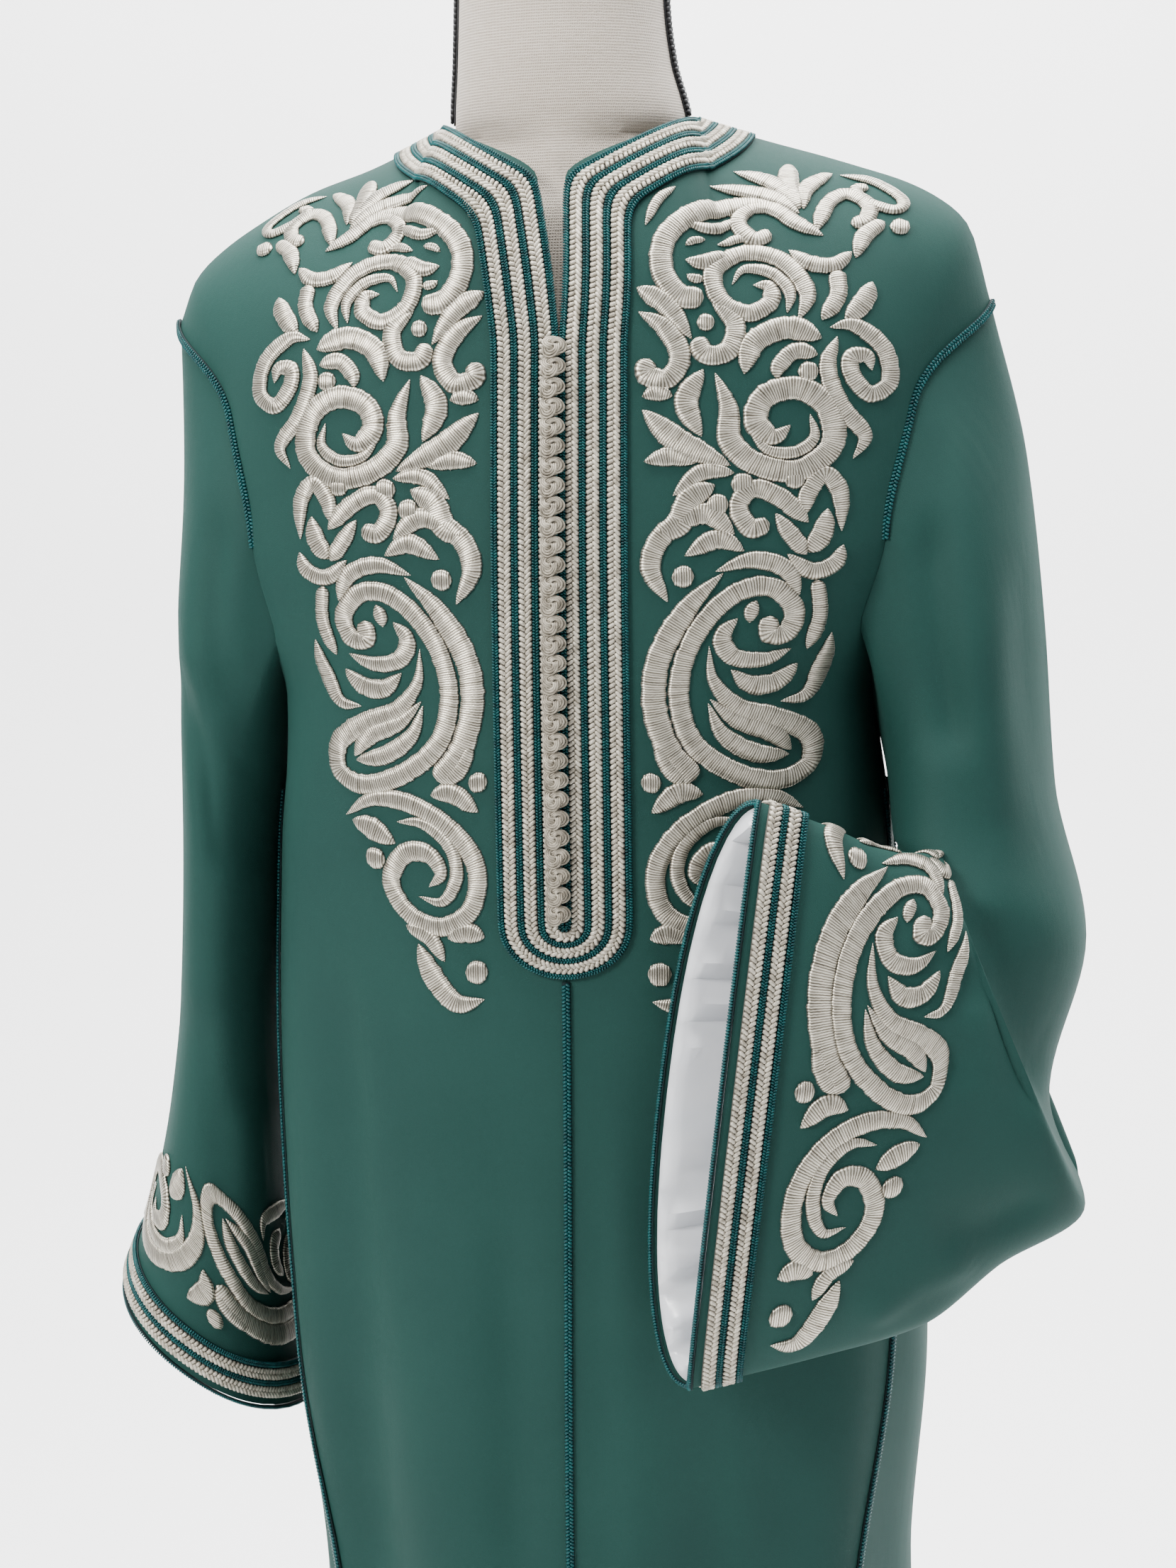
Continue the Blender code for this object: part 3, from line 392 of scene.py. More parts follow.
FOLDS = [
    Fold(-1, 58, 1.06, 0.0110, 7, -4), Fold(-1, 42, 0.98, -0.0140, 8, -6), Fold(-1, 22, 0.84, 0.0100, 8, 2),
    Fold(1, 14, 0.76, -0.0080, 8, 2), Fold(1, 33, 0.94, -0.0120, 8, 4), Fold(1, 48, 1.02, 0.0110, 8, 3),
    Fold(1, 66, 0.86, -0.0080, 8, 0), Fold(-1, 78, 0.82, -0.0085, 9, 2), Fold(1, 92, 0.80, 0.0080, 9, 2),
    Fold(-1, 100, 0.84, 0.0080, 9, 0), Fold(-1, 122, 0.98, -0.0110, 9, 3),
    Fold(1, 118, 1.00, -0.0110, 10, -2),
    Fold(-1, 143, 1.02, 0.0090, 9, 3), Fold(1, 140, 0.92, 0.0090, 9, -3), Fold(-1, 164, 0.88, -0.0090, 9, 1),
    Fold(1, 162, 0.96, -0.0075, 8, -2),
]
BODY_SQUARENESS = 2.3
CHEST_Z, ARMPIT_Z, HEM_Z = 1.280, 1.125, 0.040


def body_value(field, z):
    return through(column_of(SECTIONS, "z"), column_of(SECTIONS, field), z)


def body_points(side, angle, z):
    """Points of the body's outline, angle in degrees from the middle of the front."""
    angle, z = np.broadcast_arrays(np.asarray(angle, float), np.asarray(z, float))
    theta = np.radians(angle)
    power = 2 / BODY_SQUARENESS
    across = body_value("left" if side < 0 else "right", z)
    deep = np.where(angle < 90, body_value("front", z), body_value("back", z))
    x = side * across * abs(np.sin(theta)) ** power
    y = -deep * signed_power(np.cos(theta), power)
    push = np.zeros_like(z)
    for fold in FOLDS:
        share = np.clip((fold.top - z) / fold.top, 0, 1)
        middle = fold.middle + fold.drift * share
        near = abs(angle - middle)
        if side != fold.side:
            near = np.minimum(abs(angle + middle), abs(angle + middle - 360))
        push = push + fold.height * share**0.75 * np.exp(-0.5 * (near / fold.width) ** 2)
    outward = unit(np.stack([x / across**2, y / deep**2, np.zeros_like(x)], -1))
    return np.stack([x, y, z], -1) + outward * push[..., None]


print("widest at the hem:", round(2 * body_value("right", HEM_Z).item(), 3), "m")

# %% [markdown]
# ### Front, yoke and back
# The front and back are cut in one with the yoke, which curves up and over the shoulder to the neck. Its
# columns are single curves from the neckline or shoulder line to the chest, set by the way the cloth
# leaves each end.

# %% Front and back panels
NECK_SIDE = (0.0700, -0.0040, 1.4385)
NECK_FRONT_Y, NECK_FRONT_Z = -0.0750, 1.4050
NECK_BACK_Y, NECK_BACK_Z = 0.0620, 1.4300
NECK_SHARE = 0.36
YOKE_FULLNESS, BELOW_CHEST = 1.05, 0.010
SHOULDER_TIP = (0.2310, 0.0000, 1.3350)
SLIT_END_Z, SLIT_HALF_GAP = 1.3190, 0.0075
SLIT_LINE = [(1.405, -0.0025), (1.345, 0.0040), (1.319, 0.0050), (1.000, 0.0050), (0.650, 0.0010),
             (0.040, 0.0000)]
SHOULDERS = {
    -1: [(0.070, 1.4385), (0.115, 1.4180), (0.150, 1.4060), (0.180, 1.3905), (0.205, 1.3745),
         (0.221, 1.3590), (0.231, 1.3350)],
    1: [(0.070, 1.4385), (0.110, 1.4260), (0.139, 1.4175), (0.161, 1.4105), (0.183, 1.4030), (0.204, 1.3920),
        (0.219, 1.3775), (0.231, 1.3350)],
}
LEAVING = [(0.00, (0.00, -0.38, -0.93)), (0.18, (0.22, -0.80, -0.58)), (0.36, (0.06, -1.00, -0.34)),
           (0.70, (0.00, -1.00, -0.34)), (1.00, (-0.12, -0.95, -0.55))]


def slit_x(z):
    keys, values = zip(*SLIT_LINE)
    return through(keys, values, z)


def slit_gap(z):
    share = np.clip((np.asarray(z) - SLIT_END_Z) / (NECK_FRONT_Z - SLIT_END_Z), 0, 1)
    return SLIT_HALF_GAP * share**0.8


def front_points(side, u, z):
    """Points of a front panel below the chest, u from 0 at the slit to 1 at the side."""
    u, z = np.broadcast_arrays(np.asarray(u, float), np.asarray(z, float))
    points = body_points(side, u * body_value("front_seam", z), z)
    points[..., 0] += slit_x(z) * (1 - u) ** 2 + side * slit_gap(z) * (1 - u) ** 4
    return points


def back_points(side, u, z):
    u, z = np.broadcast_arrays(np.asarray(u, float), np.asarray(z, float))
    return body_points(side, 180 - u * body_value("back_seam", z), z)


def neckline(side, t, front):
    """The neck edge: t from 0 at the middle to 1 at the side of the neck."""
    t = np.asarray(t, float)
    turn = t * np.pi / 2
    deep, low, rise = (NECK_FRONT_Y, NECK_FRONT_Z, 1.0) if front else (NECK_BACK_Y, NECK_BACK_Z, 2.0)
    start = side * SLIT_HALF_GAP if front else 0.0
    x = start + (side * NECK_SIDE[0] - start) * np.sin(turn) ** 0.92
    y = NECK_SIDE[1] + (deep - NECK_SIDE[1]) * np.cos(turn)
    share = (x - start) / (side * NECK_SIDE[0] - start)
    z = low + (NECK_SIDE[2] - low) * share**rise
    x = x + (slit_x(NECK_FRONT_Z) * (1 - t) ** 2 if front else 0.0)
    return np.stack([x, y, z], -1)


def shoulder(side, t):
    """The shoulder line: t from 0 at the neck to 1 at the dropped shoulder seam."""
    x = NECK_SIDE[0] + (SHOULDER_TIP[0] - NECK_SIDE[0]) * t
    keys, heights = zip(*SHOULDERS[side])
    y = NECK_SIDE[1] + (SHOULDER_TIP[1] - NECK_SIDE[1]) * t
    return np.stack([side * x, y, through(keys, heights, x)], -1)


def yoke_points(side, shares, v, front):
    """The yoke: v from 0 at the neck and shoulder to 1 at the chest line, one smooth curve a column."""
    below = front_points if front else back_points
    neck = shares <= NECK_SHARE
    top = np.where(neck[:, None], neckline(side, np.minimum(shares / NECK_SHARE, 1), front),
                   shoulder(side, np.maximum(shares - NECK_SHARE, 0) / (1 - NECK_SHARE)))
    chest = below(side, shares, CHEST_Z)
    falling = unit(below(side, shares, CHEST_Z - BELOW_CHEST) - chest)
    keys, ways = zip(*LEAVING)
    leaving = unit(through(keys, ways, shares) * (side, 1 if front else -1, 1))
    reach = np.linalg.norm(chest - top, axis=-1, keepdims=True) * YOKE_FULLNESS
    v = v[:, None, None]
    points = ((2 * v**3 - 3 * v**2 + 1) * top + (v**3 - 2 * v**2 + v) * leaving * reach
              + (3 * v**2 - 2 * v**3) * chest + (v**3 - v**2) * falling * reach)
    if front:
        pull = np.where(neck, 1 - shares / NECK_SHARE, 0) ** 4
        edge = slit_x(points[..., 2]) + side * slit_gap(points[..., 2])
        points[..., 0] += (edge - points[..., 0]) * pull
    return points


YOKE_ROWS, ARMHOLE_ROWS, SKIRT_ROWS = 30, 22, 94
NECK_COLUMNS, SHOULDER_COLUMNS, GORE_COLUMNS = 18, 30, 12
tip_spacing = 1 - (1 - np.linspace(0, 1, SHOULDER_COLUMNS + 1)[1:]) ** 1.25
SHARES = np.concatenate([np.linspace(0, NECK_SHARE, NECK_COLUMNS + 1),
                         NECK_SHARE + (1 - NECK_SHARE) * tip_spacing])
ARMHOLE_HEIGHTS = np.linspace(CHEST_Z, ARMPIT_Z, ARMHOLE_ROWS + 1)
SKIRT_HEIGHTS = np.linspace(ARMPIT_Z, HEM_Z, SKIRT_ROWS + 1)
LOWER_HEIGHTS = np.concatenate([ARMHOLE_HEIGHTS, SKIRT_HEIGHTS[1:]])[1:, None]


def half_grid(side, front):
    below = front_points if front else back_points
    yoke = yoke_points(side, SHARES, np.linspace(0, 1, YOKE_ROWS + 1), front)
    return np.concatenate([yoke, below(side, SHARES[None, :], LOWER_HEIGHTS)])


def gore_grid(side):
    z = SKIRT_HEIGHTS[:, None]
    first, last = body_value("front_seam", z), 180 - body_value("back_seam", z)
    return body_points(side, first + (last - first) * np.linspace(0, 1, GORE_COLUMNS + 1)[None, :], z)


fronts = {side: half_grid(side, True) for side in (-1, 1)}
back_halves = {side: half_grid(side, False) for side in (-1, 1)}
back = np.concatenate([back_halves[-1][:, :0:-1], back_halves[1]], axis=1)
gores = {side: gore_grid(side) for side in (-1, 1)}
print("front grid", fronts[1].shape[:2], "back grid", back.shape[:2], "gore grid", gores[1].shape[:2])

# %% [markdown]
# ### Sleeves
# Each sleeve runs as rings from the armhole to the cuff. The left one hangs beside the body. The right one
# is bent at the elbow and folded across the front, as the photograph shows it, with its cuff standing
# upright.

# %% Sleeves
Ring = namedtuple("Ring", "ox oy oz ix iy iz front_x front_y back_x back_y")
HANGING_SLEEVE = [
    Ring(0.2310, 0.000, 1.335, 0.1670, 0.000, 1.125, 0, -0.075, 0, 0.072),
    Ring(0.2310, 0.004, 1.255, 0.1720, 0.004, 1.092, 0, -0.081, 0, 0.080),
    Ring(0.2325, 0.008, 1.160, 0.1780, 0.008, 1.050, 0, -0.084, 0, 0.084),
    Ring(0.2350, 0.012, 1.064, 0.1820, 0.012, 0.995, 0, -0.084, 0, 0.086),
    Ring(0.2410, 0.018, 0.968, 0.1865, 0.018, 0.925, 0, -0.086, 0, 0.090),
    Ring(0.2530, 0.024, 0.888, 0.1880, 0.030, 0.840, 0, -0.090, 0, 0.098),
    Ring(0.2715, 0.030, 0.818, 0.1860, 0.040, 0.758, 0, -0.095, 0, 0.106),
    Ring(0.2910, 0.035, 0.771, 0.1820, 0.045, 0.686, 0, -0.102, 0, 0.116),
]
FOLDED_SLEEVE = [
    Ring(0.2310, 0.000, 1.335, 0.1660, 0.000, 1.125, 0, -0.075, 0, 0.072),
    Ring(0.2510, -0.002, 1.250, 0.1720, -0.004, 1.096, -0.010, -0.082, -0.015, 0.080),
    Ring(0.2610, -0.006, 1.155, 0.1775, -0.012, 1.068, -0.014, -0.084, -0.018, 0.080),
    Ring(0.2665, -0.012, 1.068, 0.1795, -0.030, 1.046, -0.012, -0.084, -0.017, 0.075),
    Ring(0.2835, -0.025, 0.985, 0.1805, -0.060, 1.041, 0, -0.076, -0.016, 0.064),
    Ring(0.2625, -0.055, 0.900, 0.1960, -0.085, 1.046, 0, -0.062, -0.010, 0.046),
    Ring(0.2815, -0.080, 0.846, 0.2050, -0.102, 1.043, 0, -0.052, 0, 0.036),
    Ring(0.2350, -0.108, 0.819, 0.1960, -0.122, 1.046, 0, -0.044, 0, 0.028),
    Ring(0.1930, -0.134, 0.792, 0.1760, -0.140, 1.051, 0, -0.036, -0.006, 0.020),
    Ring(0.1380, -0.158, 0.781, 0.1480, -0.157, 1.066, 0, -0.030, -0.020, 0.015),
    Ring(0.0740, -0.174, 0.768, 0.1140, -0.172, 1.081, 0, -0.027, -0.035, 0.012),
]
SLEEVE_SQUARENESS, ARMHOLE_EASE, SLEEVE_RINGS, UNDERARM = 2.2, 0.11, 120, 0.1


def lengths_along(points):
    steps = np.linalg.norm(np.diff(points, axis=0), axis=1)
    return np.concatenate([[0], np.cumsum(steps)])


def sleeve_grid(table, side):
    """Rings of the sleeve from the armhole loop to the cuff."""
    rows = YOKE_ROWS + ARMHOLE_ROWS + 1
    loop = np.concatenate([fronts[side][:rows, -1], gores[side][0, 1:-1],
                           back_halves[side][1:rows, -1][::-1]])
    corners = (rows - 1, rows - 1 + GORE_COLUMNS)
    run = lengths_along(np.vstack([loop, loop[:1]]))
    marks = [0, run[corners[0]], run[corners[1]], run[-1]]
    turn = np.interp(run, marks, [0, (1 - UNDERARM) * np.pi, (1 + UNDERARM) * np.pi, 2 * np.pi])[:-1]
    values = np.array(table)
    along = lengths_along((values[:, 0:3] + values[:, 3:6]) / 2)
    at = through(np.linspace(0, 1, len(along)), along, np.linspace(0, 1, SLEEVE_RINGS + 1))
    ring = through(along, values, at)[:, None, :]
    power = 2 / SLEEVE_SQUARENESS
    cos = signed_power(np.cos(turn), power)[None, :, None]
    sin = signed_power(np.sin(turn), power)[None, :, None]
    flat = np.zeros_like(ring[..., :1])
    to_front = np.concatenate([ring[..., 6:8], flat], -1)
    to_back = np.concatenate([-ring[..., 8:10], flat], -1)
    outer, inner = ring[..., 0:3], ring[..., 3:6]
    grid = (outer + inner) / 2 + cos * (outer - inner) / 2 + sin * np.where(sin > 0, to_front, to_back)
    grid[..., 0] *= side
    ease = np.clip(1 - at / ARMHOLE_EASE, 0, 1) ** 1.5
    return grid + ease[:, None, None] * (loop - grid[0])[None]


sleeves = {-1: sleeve_grid(HANGING_SLEEVE, -1), 1: sleeve_grid(FOLDED_SLEEVE, 1)}
print("sleeve grid", sleeves[1].shape[:2])

# %% [markdown]
# ### Normals that cross the seams
# Where two panels are sewn together their shading must agree, or the seam would show as a break. The face
# normals are added up at every place, over all the panels that meet there.

# %% Panels and shared normals


def grid_faces(rows, columns, closed, flip=False, looped=False):
    """Corner numbers of the faces of a grid. closed joins its last column to the first, looped its rows."""
    row_steps = np.arange(rows if looped else rows - 1)
    column_steps = np.arange(columns if closed else columns - 1)
    i, j = np.meshgrid(row_steps, column_steps, indexing="ij")
    after, k = (i + 1) % rows, (j + 1) % columns
    faces = np.stack([i * columns + j, after * columns + j, after * columns + k, i * columns + k], -1)
    faces = faces.reshape(-1, 4)
    return faces[:, ::-1] if flip else faces


def capped_faces(rows, columns):
    """The faces of a tube of rings, with one flat face over each end."""
    sides = [tuple(face) for face in grid_faces(rows, columns, closed=True).tolist()]
    last = (rows - 1) * columns
    return sides + [tuple(range(columns)), tuple(range(last, last + columns))[::-1]]


def renumbered(faces, start):
    """The faces of a shape whose first point gets the number start in a larger mesh."""
    return [tuple(corner + start for corner in face) for face in faces]


class Panel:
    """A piece of cloth as a grid of points on its outer face."""

    def __init__(self, name, grid, closed=False, flip=False):
        self.name, self.grid, self.closed, self.flip = name, grid, closed, flip
        self.faces = grid_faces(*grid.shape[:2], closed, flip)
        self.normals = None


def joined(group):
    """The points and faces of several panels as one, and the number of each panel's first point."""
    points = np.concatenate([panel.grid.reshape(-1, 3) for panel in group])
    starts = np.cumsum([0] + [panel.grid[..., 0].size for panel in group])
    faces = np.concatenate([panel.faces + start for panel, start in zip(group, starts)])
    return points, faces, starts


def share_normals(group):
    points, faces, starts = joined(group)
    _, place = np.unique(np.round(points, 5), axis=0, return_inverse=True)
    place = place.reshape(-1)
    a, b, c, d = (points[faces[:, n]] for n in range(4))
    across = np.cross(c - a, d - b)
    total = np.zeros((place.max() + 1, 3))
    for n in range(4):
        np.add.at(total, place[faces[:, n]], across)
    normals = unit(total)[place]
    for panel, start, end in zip(group, starts, starts[1:]):
        panel.normals = normals[start:end].reshape(panel.grid.shape)


SIDES = {-1: "left", 1: "right"}
panels = {"back": Panel("back", back, flip=True)}
for side, word in SIDES.items():
    panels["front_" + word] = Panel("front_" + word, fronts[side], flip=side < 0)
    panels["gore_" + word] = Panel("gore_" + word, gores[side], flip=side < 0)
    panels["sleeve_" + word] = Panel("sleeve_" + word, sleeves[side], closed=True, flip=side > 0)
BODY_PANELS = [panel for panel in panels.values() if not panel.closed]
SLEEVE_PANELS = [panel for panel in panels.values() if panel.closed]
share_normals(BODY_PANELS)
share_normals(SLEEVE_PANELS)
print("panels:", ", ".join(panels))

# %% [markdown]
# ### Creases
# Crepe falls in soft folds that start where something pulls, such as an elbow, the armhole or the end of
# the embroidery, and fade out. They could be painted in sculpt mode. Here each is a line drawn in the
# front or back view, with a width, a depth and a lean, so the same crease comes back at every run.

# %% Creases placed one by one
FRONT_VIEW, BACK_VIEW = -1, 1
Crease = namedtuple("Crease", "line height width lean")
CREASES = {
    ("sleeve_left", FRONT_VIEW): [
        ([(-.196, 1.240), (-.197, 1.170), (-.190, 1.110)], -.0035, .010, .0),
        ([(-.226, 1.150), (-.206, 1.075), (-.196, 1.015)], -.0055, .012, -.4),
        ([(-.222, .960), (-.214, .880), (-.216, .800)], -.0040, .018, .2),
        ([(-.196, .900), (-.198, .830), (-.206, .760)], .0040, .012, -.3),
    ],
    ("sleeve_right", FRONT_VIEW): [
        ([(.212, 1.290), (.222, 1.190), (.232, 1.100), (.246, 1.020)], .0045, .016, -.4),
        ([(.198, 1.230), (.204, 1.150), (.214, 1.085)], -.0060, .011, .3),
        ([(.246, 1.210), (.250, 1.120), (.258, 1.050)], -.0030, .015, .0),
        ([(.226, 1.020), (.244, .965), (.258, .900)], -.0055, .015, -.3),
        ([(.196, 1.004), (.214, .990), (.228, .966)], -.0030, .008, .3),
        ([(.190, .960), (.206, .948), (.216, .928)], -.0026, .009, .0),
        ([(.264, .868), (.232, .852), (.196, .850)], -.0035, .014, .2),
        ([(.160, .800), (.190, .822), (.226, .836)], .0030, .012, -.3),
    ],
    ("body", FRONT_VIEW): [
        ([(-.168, 1.250), (-.158, 1.150), (-.150, 1.040), (-.150, .900), (-.146, .700)], .0040, .020, -.5),
        ([(-.128, 1.010), (-.122, .880), (-.118, .700), (-.120, .400), (-.126, .100)], -.0055, .018, .3),
        ([(-.034, .900), (-.030, .720), (-.026, .400), (-.028, .120)], -.0036, .016, .0),
        ([(.032, .930), (.036, .760), (.040, .500), (.044, .140)], .0040, .018, -.3),
        ([(.078, .760), (.082, .620), (.088, .380), (.094, .100)], -.0052, .020, .3),
        ([(.128, 1.130), (.130, 1.040), (.136, .950)], -.0034, .016, .0),
    ],
    ("body", BACK_VIEW): [
        ([(.136, 1.280), (.128, 1.170), (.118, 1.050), (.116, .900)], .0045, .020, -.3),
        ([(-.060, 1.300), (-.056, 1.150), (-.060, 1.000), (-.066, .760)], -.0040, .024, .0),
        ([(.048, 1.180), (.054, 1.040), (.060, .880), (.060, .600)], -.0045, .022, .3),
        ([(-.112, .760), (-.116, .560), (-.124, .280), (-.132, .080)], -.0055, .020, -.3),
    ],
    ("sleeve_left", BACK_VIEW): [
        ([(-.222, 1.250), (-.216, 1.130), (-.206, 1.020)], -.0045, .016, .2),
        ([(-.236, 1.060), (-.222, .980), (-.208, .900)], .0055, .012, -.4),
        ([(-.216, .930), (-.224, .850), (-.232, .770)], -.0045, .018, .0),
    ],
    ("sleeve_right", BACK_VIEW): [
        ([(.218, 1.260), (.224, 1.150), (.236, 1.060)], -.0045, .016, .0),
    ],
}
CREASE_STEPS, FADE_SHARE, FACING_GAIN = 60, 0.22, 2.5
UNEVEN_SHARE, UNEVEN_WAVES, UNEVEN_START = 0.2, 9, 40


def crease_push(points, normals, crease, view):
    """How far each point moves along its normal for one crease, drawn in the front or back view."""
    keys = np.linspace(0, 1, len(crease.line))
    at = np.linspace(0, 1, CREASE_STEPS)
    line = through(keys, np.array(crease.line), at)
    way = unit(np.gradient(line, axis=0))
    flat = points[..., [0, 2]].reshape(-1, 2)
    gaps = flat[:, None, :] - line[None]
    nearest = np.argmin((gaps**2).sum(-1), axis=1)
    gap = gaps[np.arange(len(flat)), nearest]
    off = gap[:, 0] * way[nearest, 1] - gap[:, 1] * way[nearest, 0]
    distance = np.linalg.norm(gap, axis=1)
    share = at[nearest]
    width = crease.width * (1 + crease.lean * np.tanh(off / crease.width)) * (0.75 + 0.5 * share)
    fade = np.clip(np.minimum(share, 1 - share) / FADE_SHARE, 0, 1)
    fade = fade * fade * (3 - 2 * fade)
    facing = np.clip(normals[..., 1].reshape(-1) * view * FACING_GAIN, 0, 1)
    uneven = 1 + UNEVEN_SHARE * np.sin(UNEVEN_WAVES * share + UNEVEN_START * crease.line[0][0])
    push = crease.height * uneven * np.exp(-(distance / width) ** 2) * fade * facing
    return push.reshape(points.shape[:-1])


def crumple(group, piece_of):
    for panel in group:
        push = np.zeros(panel.grid.shape[:-1])
        for (piece, view), creases in CREASES.items():
            if piece == piece_of(panel):
                for crease in creases:
                    push += crease_push(panel.grid, panel.normals, Crease(*crease), view)
        panel.grid = panel.grid + panel.normals * push[..., None]
    share_normals(group)


crumple(BODY_PANELS, lambda panel: "body")
crumple(SLEEVE_PANELS, lambda panel: panel.name)
print("creases:", sum(len(creases) for creases in CREASES.values()))

# %% [markdown]
# ### Cloth walls
# Each panel becomes a closed thin shell: the outer points, a second layer one cloth thickness further in,
# and faces round the edge. The Solidify modifier does the same, but here the inner layer must follow the
# normals that the panels share, so that no gap opens along a seam.

# %% Walls of cloth
CLOTH, SEAM_GAP = 0.0015, 0.0003
SHARP_CLOTH = np.radians(60)


def add_piece(name, points, faces, finish, along=None, replaced=()):
    """A mesh piece that rides on the part. along gives a UV pair, in metres, for each point."""
    mesh = bpy.data.meshes.new(name)
    mesh.from_pydata(np.asarray(points).tolist(), [], [list(face) for face in faces])
    mesh.materials.append(finish)
    mesh.shade_smooth()
    if along is not None:
        layer = mesh.uv_layers.new(name="metres")
        corners = np.zeros(len(mesh.loops), int)
        mesh.loops.foreach_get("vertex_index", corners)
        layer.data.foreach_set("uv", np.asarray(along, float)[corners].ravel())
    made = bpy.data.objects.new(name, mesh)
    bpy.context.scene.collection.objects.link(made)
    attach(made, "root")
    if replaced:
        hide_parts(*replaced)
    return made


def drawn_back(points, gap):
    """Moves the first and last row of a grid into it by the gap."""
    moved = points.copy()
    moved[0] += unit(points[1] - points[0]) * gap
    moved[-1] += unit(points[-2] - points[-1]) * gap
    return moved


def rim(faces):
    """The directed edges that only one face has."""
    edges = np.concatenate([faces[:, [n, (n + 1) % 4]] for n in range(4)])
    there = {tuple(edge) for edge in edges.tolist()}
    return [edge for edge in there if edge[::-1] not in there]


def wall(name, panel, finish, thick):
    layers = []
    for inward in (0.0, thick):
        layer = drawn_back(panel.grid - panel.normals * inward, SEAM_GAP / 2)
        if not panel.closed:
            layer = drawn_back(layer.transpose(1, 0, 2), SEAM_GAP / 2).transpose(1, 0, 2)
        layers.append(layer.reshape(-1, 3))
    count = len(layers[0])
    faces = panel.faces.tolist() + (panel.faces[:, ::-1] + count).tolist()
    faces += [[b, a, a + count, b + count] for a, b in rim(panel.faces)]
    made = add_piece(name, np.concatenate(layers), faces, finish, replaced=[panel.name])
    made.data.set_sharp_from_angle(angle=SHARP_CLOTH)
    return made


cloth = {name: wall("cloth_" + name, panel, CREPE, CLOTH) for name, panel in panels.items()}
print("cloth:", sum(len(piece.data.polygons) for piece in cloth.values()), "faces")

# %% [markdown]
# ## Lines on the cloth
# Braids, cords and knots are sewn on top of the cloth, so their lines are found on it: from the front with
# a ray, or as the nearest place to a point. A Shrinkwrap modifier could do it too, but the trims also need
# the normal of the cloth at every step.

# %% Finding places on the cloth


def corner_shares(a, b, c, spot):
    """The weight of each corner of a triangle at a spot in it, not yet summing to one."""
    return np.linalg.norm(np.cross([c - b, a - c, b - a], [spot - b, spot - c, spot - a]), axis=-1)


def halved(faces):
    """Two triangles for each four-sided face."""
    return np.concatenate([faces[:, [0, 1, 2]], faces[:, [0, 2, 3]]])


class Surface:
    def __init__(self, group):
        self.points, faces, _ = joined(group)
        self.normals = np.concatenate([panel.normals.reshape(-1, 3) for panel in group])
        self.triangles = halved(faces)
        self.tree = BVHTree.FromPolygons(self.points.tolist(), self.triangles.tolist())

    def blend(self, place, index):
        corners = self.triangles[index]
        a, b, c = self.points[corners]
        place = np.array(place)
        return place, unit(corner_shares(a, b, c, place) @ self.normals[corners])

    def nearest(self, point):
        place, _, index, _ = self.tree.find_nearest(Vector(point))
        return self.blend(place, index)

    def from_front(self, x, z):
        place, _, index, _ = self.tree.ray_cast(Vector((x, -1.0, z)), Vector((0, 1, 0)))
        return self.blend(place, index)


def smoothed(points, rounds, closed):
    """Evens out a line by averaging each point with its neighbours. The ends of an open line stay."""
    points = np.array(points)
    for _ in range(rounds):
        moved = (np.roll(points, 1, axis=0) + np.roll(points, -1, axis=0) + 2 * points) / 4
        if not closed:
            moved[0], moved[-1] = points[0], points[-1]
        points = moved
    return points


def on_cloth(surface, points):
    """The points and normals of the cloth nearest to each point."""
    return tuple(np.array(part) for part in zip(*[surface.nearest(point) for point in points]))


BODY = Surface([panels[name] for name in ("front_left", "front_right", "back")])
print("triangles under the trims:", len(BODY.triangles))

# %% [markdown]
# ### The line of the neck and slit
# All seven trims of the neck follow one line at seven distances: up one side of the slit, round the neck,
# down the other side, and round the foot of the slit in a narrow U.

# %% Neck line
PLACKET_FOOT_Z, PLACKET_ROUND = 1.008, 0.79
SLIT_STEPS, NECK_STEPS, BACK_STEPS, FOOT_STEPS = 110, 44, 70, 40
CORNER_ROUNDS, SHOULDER_ROUNDS, SHOULDER_REACH = 6, 80, 40
NECK_SAMPLES, CORNER_DROP = 161, 0.93
SHOULDER_FROM, SHOULDER_SPAN, SHOULDER_WAY = 0.8, 0.2, (0.93, 0.0, -0.36)


def neck_place(side, t, front, distance):
    near = 0.004
    here = neckline(side, t, front)
    way = unit(neckline(side, min(t + near, 1), front) - neckline(side, max(t - near, 0), front))
    keys, ways = zip(*LEAVING)
    leaving = through(keys, ways, t * NECK_SHARE) * (side, 1 if front else -1, 1)
    over = np.clip((t - SHOULDER_FROM) / SHOULDER_SPAN, 0, 1)
    leaving = leaving * (1 - over) + np.array(SHOULDER_WAY) * (side, 1, 1) * over
    leaving = unit(leaving - way * np.dot(leaving, way))
    return BODY.nearest(here + leaving * distance)[0]


